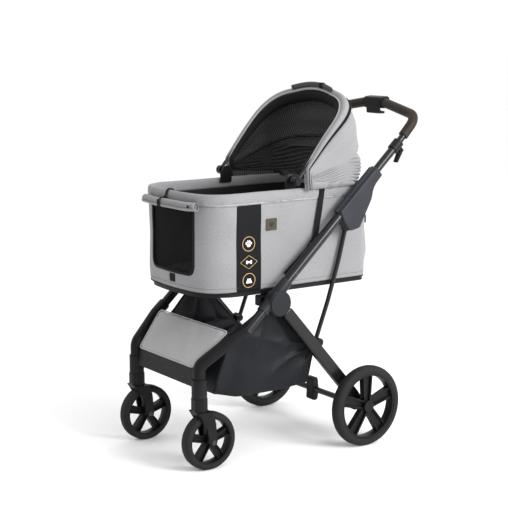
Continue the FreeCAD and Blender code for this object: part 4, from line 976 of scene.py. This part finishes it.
strap_line = [(-117, 768), (-141, 624), (-166, 590), (-246, 526)]
for side, sign in SIDES:
    strap = strap_on_side("side_strap_" + side, sign, strap_line, [0, 30, 30, 0], 19.0, 4.8)
    rivet_at = Vector((sign * (HALF + 5.4), -121, 752))
    rivet = tube("strap_rivet_" + side, [rivet_at + Vector((sign * 0.8 * k, 0, 0)) for k in range(4)], 4.4,
                 FINISH["black_plastic"], up=Vector((0, 0, 1)), sides=20)
    carried("carrier", strap, rivet, slot="black_fabric")
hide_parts("side_straps")


POCKET_HALF, POCKET_LOW, POCKET_HIGH = 148.0, 512, 716
POCKET_STRAP_X, BUCKLE_Z = 116, 652


def pocket():
    """The shallow pocket on the rear wall, gathered at its foot, with a flap, two straps and buckles."""
    profile = [(POCKET_LOW, 2.0), (524, 25.0), (560, 31.0), (640, 24.0), (700, 10.0), (POCKET_HIGH, 2.2)]

    def depth(z):
        for (low, first), (high, second) in zip(profile, profile[1:]):
            if z <= high:
                return first + (second - first) * smooth(low, high, z)
        return profile[-1][1]

    def bag_point(up, along):
        x, z = POCKET_HALF * (2 * along - 1), POCKET_LOW + (POCKET_HIGH - POCKET_LOW) * up
        edge = smooth(POCKET_HALF, POCKET_HALF - 16, abs(x))
        fold = 1.4 * wave(x * 0.05, 4.0, z * 0.01) * smooth(640, 530, z)
        return Vector((x, REAR + 0.8 + (depth(z) + fold) * edge, z))

    def flap_point(down, along):
        x, z = (POCKET_HALF + 2) * (2 * along - 1), POCKET_HIGH + 6 - 66 * down
        drop = 10 * (abs(x) / POCKET_HALF) ** 4 * down
        stand = depth(min(POCKET_HIGH, z + drop)) * smooth(POCKET_HALF + 5, POCKET_HALF - 14, abs(x))
        return Vector((x, REAR + 3.8 + stand, z + drop))

    bag = thicken(skin("rear_pocket_cloth", grid(41, 61, bag_point), FINISH["grey_fabric"]), 1.4, 0.0)
    flap_rows = grid(21, 61, flap_point)
    cover = thicken(skin("rear_pocket_flap", flap_rows, FINISH["grey_fabric"]), 1.4, 0.0)
    closures = []
    for side, sign in SIDES:
        middle = sign * POCKET_STRAP_X

        def strap_point(down, along):
            z = 700 - 84 * down
            return Vector((middle - 9 + 18 * along, REAR + 5.6 + depth(z), z))

        strap_rows = grid(31, 9, strap_point)
        closures.append(thicken(skin("rear_pocket_strap_" + side, strap_rows, webbing), 1.2, 0.0))
        buckle_at = (middle, REAR + 10 + depth(BUCKLE_Z), BUCKLE_Z)
        closures.append(rounded_box("rear_pocket_buckle_" + side, buckle_at, (26, 8, 24),
                                    FINISH["black_plastic"], 2.2))
    hem_line = [p + Vector((0, 1.0, 3.5)) for p in flap_rows[-1][2:-2]]
    hem = stitches("rear_pocket_stitches", hem_line, grey_thread)
    return bag, cover, hem, closures


pocket_bag, pocket_flap, pocket_hem, pocket_closures = pocket()
carried("carrier", pocket_bag, pocket_flap, pocket_hem, slot="grey_fabric")
carried("carrier", *pocket_closures, slot="black_fabric")
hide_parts("rear_pocket")


def cushion():
    """The carrier's floor cushion: an inflated box with quilted channels and a corded edge."""
    ring = plan(-28.0, 96)
    rows = [[Vector((p.x, p.y, z)) for p in ring] for z in (496.0, 506.0, 517.0, 525.0)]
    made = skin("cushion_pad", rows, cushion_cloth, wrap=True)
    cap_ends(made)
    puff(made, 6.0, 4.0, 5.0)
    for vertex in made.data.vertices:
        x, y, z = vertex.co.x * 1000, vertex.co.y * 1000 - AXLE_Y, vertex.co.z * 1000
        if z > 512:
            groove = min(abs((x + y * 0.9) % 84 - 42), abs((x - y * 0.9) % 84 - 42))
            crown = 4.0 * smooth(175, 60, max(abs(x), abs(y + 231) * 0.66))
            vertex.co.z += (crown - 4.0 * math.exp(-((groove / 3.4) ** 2))) * 0.001
        vertex.co.z = max(vertex.co.z, (BASE_TOP + 0.4) * 0.001)
    return softened(made)


pad = cushion()
edge_cord = tube("cushion_piping", [Vector((p.x, p.y, 521.0)) for p in plan(-25.0, 140)], 2.2, lining_cloth,
                 closed=True, sides=8)
carried("carrier", pad, edge_cord, slot="black_fabric")
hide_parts("carrier_cushion")

# ---------------------------------------------------------------- canopy

PIVOT = Vector((0, -212, 790))
CANOPY_HALF, REACH, LEAN = 202.0, 340.0, 48.5
BOW_LEAN = 22.0
BROW = 5.0
FOOT, FOOT_LOW, HEM = 45.0, 12.0, 764.5


def fan(angle, across, up):
    """A point of the plane through the pivots that leans back at an angle; its foot drops to the hem."""
    if up < FOOT:
        base, share = fan(angle, across, FOOT), (FOOT - up) / (FOOT - FOOT_LOW)
        return Vector((across, base.y + 5 * share ** 2, base.z + (HEM - base.z) * share))
    lean = math.radians(angle + math.degrees(forward(angle, up) / max(up, 60.0)))
    return PIVOT + Vector((across, up * math.cos(lean), up * math.sin(lean)))


def forward(angle, up):
    """How far the cloth's front edge bows forward of the hoop's plane along its legs."""
    return BROW * math.sin(math.pi * smooth(0, REACH * 0.9, up)) * smooth(LEAN - 22, LEAN, angle)


def arch_points(half, reach, low, count=121):
    """An arch across the canopy as even points, from the left foot over the top to the right foot."""
    shoulder = reach * 0.86
    corner = min(125.0, reach * 0.34)
    return rounded([(half, low), (half, shoulder), (0, reach + 6), (-half, shoulder), (-half, low)],
                   [0, corner, 260, corner, 0], count)


def canopy_reach(angle):
    """How far the cloth reaches from the pivots at an angle."""
    table = [(-4.5, 271.0), (5.0, 285.0), (12.5, 287.0), (15.5, 277.0), (20.0, 297.0), (30.0, 313.0),
             (38.0, REACH - 7), (LEAN, REACH)]
    for (low, first), (high, second) in zip(table, table[1:]):
        if angle <= high:
            return first + (second - first) * (angle - low) / (high - low)
    return table[-1][1]


def canopy_fold(angle, point, k):
    """How far the slack cloth stands out: gathers fanned from the pivots, and drag lines above them."""
    gathered = smooth(19, 13, angle)
    drift = 1.9 * wave(k * 0.06, 0.3, angle * 0.05) + 0.3 * math.sin(k * 0.13)
    crest = abs(math.sin(math.pi * (angle / 2.9 + drift))) ** 0.7
    depth = 10.5 + 5.0 * wave(k * 0.11, angle * 0.12, 8.0)
    fold = (crest - 0.6) * depth * gathered * smooth(0, 75, point.length - 20)
    drag = math.sin(math.pi * (angle / 9.0 + 0.8 * math.sin(k * 0.05)))
    fold += 2.6 * drag * (1 - gathered) * smooth(60, 170, point.length) * smooth(LEAN, LEAN - 8, angle)
    return fold + 2.4 * wave(point.x * 0.012, point.y * 0.012, angle * 0.09)


def canopy_rows(inset, low_angle, high_angle, steps, count=121, skirt=10):
    """The canopy's cloth between two angles, with the skirt that drops from it to the rim."""
    rows = []
    for step in range(steps):
        angle = low_angle + (high_angle - low_angle) * step / (steps - 1)
        reach = canopy_reach(angle)
        line = arch_points(CANOPY_HALF + 4.6 - inset, reach - inset, FOOT_LOW, count)
        row = []
        for k, point in enumerate(line):
            along = (line[min(k + 1, count - 1)] - line[max(k - 1, 0)]).normalized()
            out = Vector((along.y, -along.x))
            sag = -3.2 * math.sin(math.pi * smooth(BOW_LEAN, LEAN, angle)) * smooth(60, 260, point.y)
            moved = point + out * min(canopy_fold(angle, point, k) + sag, 5.0)
            narrow = 8.0 * smooth(110, 190, point.y) * smooth(36, 26, angle)
            limit = CANOPY_HALF + 7.5 - narrow - inset
            row.append(fan(angle, max(-limit, min(limit, moved.x)), moved.y))
        rows.append(row)
    lowest = rows[0]
    for step in range(1, skirt):
        share = step / (skirt - 1)
        row = []
        for k, point in enumerate(lowest):
            ripple = 2.2 * math.sin(math.pi * share) * wave(k * 0.21, share * 2.0, 5.0)
            scale = 1 - 0.07 * share ** 2 + ripple / CANOPY_HALF
            row.append(Vector((point.x * scale, point.y, point.z + (HEM - point.z) * share)))
        rows.insert(0, row)
    return rows


canopy = skin("canopy_cloth", canopy_rows(0.0, -4.5, LEAN, 130), FINISH["grey_fabric"])
thicken(canopy, 1.4, 0.0)
inner_net = skin("canopy_lining", canopy_rows(6.5, -4.0, LEAN - 0.4, 110), canopy_net)
apron = thicken(skin("canopy_apron", canopy_rows(5.0, -4.5, 4.0, 18), lining_cloth), 1.0, 0.0)
carried("carrier", apron, slot="black_fabric")


def hoop_sheet(name, profile, material, low=FOOT_LOW):
    """A band along the front hoop: profile gives pairs of angle and inset."""
    rows = []
    for angle, inset in profile:
        line = arch_points(CANOPY_HALF + 4.6 - inset, REACH - inset, low, 141)
        rows.append([fan(angle, p.x, p.y) for p in line])
    return skin(name, rows, material)


edge_band = hoop_sheet("canopy_edge", [(LEAN - 2.2, -0.8), (LEAN - 0.2, -1.8), (LEAN + 1.0, -0.6),
                                       (LEAN + 1.7, 3.5), (LEAN + 1.6, 9.0), (LEAN + 1.3, 13.5)],
                       FINISH["grey_fabric"])
zip_band = hoop_sheet("canopy_zip", [(LEAN - 4.4, -1.8), (LEAN - 3.4, -2.6), (LEAN - 2.3, -2.2)], webbing)
piping = hoop_sheet("canopy_piping", [(LEAN + 1.0, 13.0), (LEAN + 1.8, 14.8), (LEAN + 1.7, 16.4),
                                      (LEAN + 0.9, 17.6)], grey_piping)
dark_band = hoop_sheet("canopy_facing", [(LEAN + 0.9, 17.2), (LEAN + 0.4, 26.0), (LEAN - 1.4, 34.0),
                                         (LEAN - 4.4, 37.0)], FINISH["black_fabric"], 30.0)
for band in (edge_band, zip_band, piping, dark_band):
    thicken(band, 1.2, 0.0)
teeth_line = [fan(LEAN - 3.4, p.x, p.y) for p in arch_points(CANOPY_HALF + 8.2, REACH + 3.6, FOOT_LOW, 161)]
zip_teeth = stitches("canopy_zip_teeth", teeth_line, FINISH["black_plastic"], 2.6, 1.5, 1.1)
seam_line = [fan(LEAN - 5.6, p.x, p.y) for p in arch_points(CANOPY_HALF + 6.2, REACH + 1.0, 16.0, 161)]
canopy_seam = stitches("canopy_stitches", seam_line, grey_thread)
carried("canopy_hoop", edge_band, piping, slot="grey_fabric")
carried("canopy_hoop", zip_band, dark_band, zip_teeth, slot="black_fabric")
for piece in (canopy, inner_net, canopy_seam):
    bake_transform(piece)
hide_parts("canopy_fabric")


ROLL_HALF, ROLL_TIE_X = 96, 40


def roll_path(low, high, count=61):
    """The line of the roll along the hoop's top."""
    line = arch_points(CANOPY_HALF - 3.5, REACH - 5.0, FOOT_LOW, 401)
    angle = LEAN + 2.5
    top = [p for p in line if low <= p.x <= high]
    return [fan(angle, p.x, p.y) for p in even(top[::-1], count)]


roll = rolled("canopy_door", roll_path(-ROLL_HALF, ROLL_HALF), 3.0, 1.6, 8.2, roll_net, Vector((0, 1, 0.5)),
              start=1.0, squeeze=0.62)
carried("canopy_hoop", roll, slot="black_mesh")
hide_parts("canopy_roll")
roll_middle = roll_path(-ROLL_HALF, ROLL_HALF)


def roll_tie(name, x):
    """A webbing band round the roll, with its small buckle."""
    centre = min(roll_middle, key=lambda p: abs(p.x - x))
    loop = [centre + Vector((0, out, up)) for out, up in ellipse(0, 0, 9.4, 7.4, 32)]
    rows = [[p + Vector((-6 + 2 * m, 0, 0)) for p in loop] for m in range(7)]
    band = thicken(skin(name, rows, webbing, wrap=True), 1.0, 0.0)
    buckle = rounded_box(name + "_buckle", centre + Vector((0, -4, 7.5)), (20, 9, 5),
                         FINISH["black_plastic"], 1.6)
    return band, buckle


carried("canopy_hoop", *roll_tie("roll_tie_0", ROLL_TIE_X), slot="black_plastic")


# ---------------------------------------------------------------- storage basket

BASKET_TOP = [(-420, 366), (-345, 425), (-270, 428), (-140, 290)]
BASKET_LOW = [(-462, 203), (-402, 190), (-250, 188), (-158, 194)]
BASKET_FLOOR = Vector((0, -310, 188))
SIDE_POINTS, END_POINTS = 100, 40


def basket_ring(top):
    """The basket's top or bottom edge as a closed ring: left side to the rear, rear, right side, front."""
    points = BASKET_TOP if top else BASKET_LOW
    half = 184.0 if top else 168.0
    narrow = 164.0 if top else 142.0
    line = even([Vector(p) for p in points], SIDE_POINTS + 1)

    def side_point(k, sign):
        wide = narrow + (half - narrow) * smooth(0, 0.3, k / SIDE_POINTS)
        return Vector((sign * wide, line[k].x, line[k].y))

    def across(end, wide):
        return [Vector((wide * (1 - 2 * k / END_POINTS), end.x, end.y)) for k in range(END_POINTS)]

    ring = [side_point(k, 1) for k in range(SIDE_POINTS)] + across(line[-1], half)
    ring += [side_point(SIDE_POINTS - k, -1) for k in range(SIDE_POINTS)] + across(line[0], -narrow)
    return ring


def crease(turn, folds, shift):
    """A row of sharp-crested folds fanned round a point: 0 in the valleys and 1 on the crests."""
    return (1 - abs(math.sin(turn * folds + shift))) ** 1.6


def basket_fold(point):
    """The creases that run from the hub and from the rear corner across the basket's side."""
    sides = smooth(120, 165, abs(point.x))
    hub = Vector((point.y + 300, point.z - 446))
    corner = Vector((point.y + 140, point.z - 318))
    bend = 0.35 * wave(point.y * 0.008, point.z * 0.008, point.x * 0.01)
    first = crease(hub.angle_signed(Vector((0, -1)), 0) + bend, 4.2, 1.1)
    first *= smooth(15, 60, hub.length) * smooth(230, 110, hub.length)
    second = crease(corner.angle_signed(Vector((-1, 0)), 0) + bend, 5.0, 0.4)
    second *= smooth(6, 45, corner.length) * smooth(330, 120, corner.length)
    soft = wave(point.x * 0.01, point.y * 0.014, point.z * 0.014)
    return sides * (9.0 * first + 10.0 * second - 5.0) + 4.0 * soft


def basket_shell():
    """The basket's cloth: a slack bag hung from its top edge."""
    top, low = basket_ring(True), basket_ring(False)
    rows = []
    for step in range(9):
        share = step / 8
        flat = [Vector((p.x, p.y, 186 + (p.z - 186) * share ** 4)) for p in low]
        rows.append([BASKET_FLOOR.lerp(p, 0.04 + 0.96 * share) for p in flat])
    for step in range(1, 61):
        share = step / 60
        row = []
        for a, b in zip(low, top):
            point = a.lerp(b, share)
            out = Vector((point.x, (point.y + 320) * 0.4, 0)).normalized()
            front = smooth(-400, -455, a.y) * smooth(160, 120, abs(a.x))
            bulge = math.sin(math.pi * share ** 0.62) * (7.0 + 24.0 * front)
            point = point + out * (bulge + basket_fold(point) * math.sin(math.pi * min(1.0, share * 1.05)))
            limit = 198.0 - 12.0 * smooth(-345, -245, point.y)
            point.x = max(-limit, min(limit, point.x))
            row.append(point)
        rows.append(row)
    return thicken(skin("basket_cloth", rows, slate_fabric, wrap=True), 1.6, -1.0), rows[-1]


basket, basket_edge = basket_shell()
basket_hem = tube("basket_hem", basket_edge, 3.0, webbing, closed=True, sides=10)
carried("front_frame", basket, basket_hem, slot="black_fabric")
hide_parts("storage_basket")

PANEL_LOW, PANEL_HIGH = Vector((0, -531, 289)), Vector((0, -436, 385))
PANEL_UP = (PANEL_HIGH - PANEL_LOW).normalized()
PANEL_OUT = Vector((0, -PANEL_UP.z, PANEL_UP.y))
PANEL_TALL = (PANEL_HIGH - PANEL_LOW).length


def panel_point(across, up, out):
    return PANEL_LOW + Vector((across, 0, 0)) + PANEL_UP * up + PANEL_OUT * out


def panel_outline(inset):
    tall = PANEL_TALL - inset
    corners = [(-146 + inset, inset), (146 - inset, inset), (182 - inset, tall), (-182 + inset, tall)]
    return rounded(corners, [16, 16, 12, 12], 150, closed=True)


def front_panel():
    """The padded panel over the basket's front: inflated, then creased, with a seam inside its edge."""
    ring = panel_outline(2.0)
    verts = [panel_point(p.x, p.y, out) for out in (-3.0, 3.0) for p in ring]
    count = len(ring)
    faces = [(m, (m + 1) % count, count + (m + 1) % count, count + m) for m in range(count)]
    faces += [tuple(reversed(range(count))), tuple(range(count, 2 * count))]
    made = recalc(mesh_object("basket_front_pad", verts, faces, lit_panel_cloth))
    puff(made, 4.5, 4.0, 4.0, only=PANEL_OUT)
    low = to_frame(PANEL_LOW)
    for vertex in made.data.vertices:
        rel = (vertex.co - low) * 1000
        across, up = rel.x, rel.dot(PANEL_UP)
        side = 146 + 36 * up / PANEL_TALL - abs(across)
        ripple = 2.6 * wave(across * 0.020 + up * 0.014, up * 0.006, 0.5)
        seam = -1.4 * math.exp(-(((side - 14) / 2.2) ** 2))
        vertex.co += PANEL_OUT * (ripple + seam) * 0.001
    return softened(made)


panel = front_panel()
panel_cord = tube("basket_front_piping", [panel_point(p.x, p.y, 1.0) for p in panel_outline(0.5)], 2.0,
                  grey_piping, closed=True, sides=8, up=PANEL_OUT)
carried("front_frame", panel, panel_cord, slot="grey_fabric")
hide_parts("basket_panel")

# ---------------------------------------------------------------- camera, floor and light

CAMERA_AT = to_frame((3168.6, -2446.6, 1221.4))
AZIMUTH, ELEVATION = math.radians(54.94), math.radians(9.73)
LENS = 94.5

camera = bpy.data.objects.new("camera", bpy.data.cameras.new("camera"))
bpy.context.scene.collection.objects.link(camera)
bpy.context.scene.camera = camera
back = Vector((math.sin(AZIMUTH) * math.cos(ELEVATION), -math.cos(AZIMUTH) * math.cos(ELEVATION),
               math.sin(ELEVATION)))
camera.location = CAMERA_AT
camera.rotation_euler = (-back).to_track_quat("-Z", "Y").to_euler()
camera.data.lens = LENS
camera.data.sensor_width = 36.0


def area_light(name, place, target, size, power):
    """A soft box aimed at a point."""
    light = bpy.data.lights.new(name, "AREA")
    light.size = size
    light.energy = power
    made = bpy.data.objects.new(name, light)
    made.location = place
    made.rotation_euler = (Vector(target) - Vector(place)).to_track_quat("-Z", "Y").to_euler()
    bpy.context.scene.collection.objects.link(made)


floor_mesh = bpy.data.meshes.new("floor")
floor_mesh.from_pydata([(-40, -40, 0), (40, -40, 0), (40, 40, 0), (-40, 40, 0)], [], [(0, 1, 2, 3)])
floor_look = Shader("floor", (0.86, 0.86, 0.86), 0.9)
floor_look.link(floor_look.mix(floor_look.noise(3.0), (0.90, 0.90, 0.90), (0.92, 0.92, 0.92)), "Base Color")
floor_mesh.materials.append(floor_look.material)
floor = bpy.data.objects.new("floor", floor_mesh)
bpy.context.scene.collection.objects.link(floor)

world = bpy.data.worlds.new("studio")
bpy.context.scene.world = world
world.use_nodes = True
world.node_tree.nodes["Background"].inputs["Color"].default_value = (1.0, 1.0, 1.0, 1)
world.node_tree.nodes["Background"].inputs["Strength"].default_value = 1.1
bpy.context.scene.view_settings.view_transform = "Standard"
area_light("key", (3.2, 0.9, 1.9), (0, 0, 0.6), 1.6, 150)
area_light("top", (0.4, 0.6, 3.4), (0, 0, 0.6), 1.5, 12)
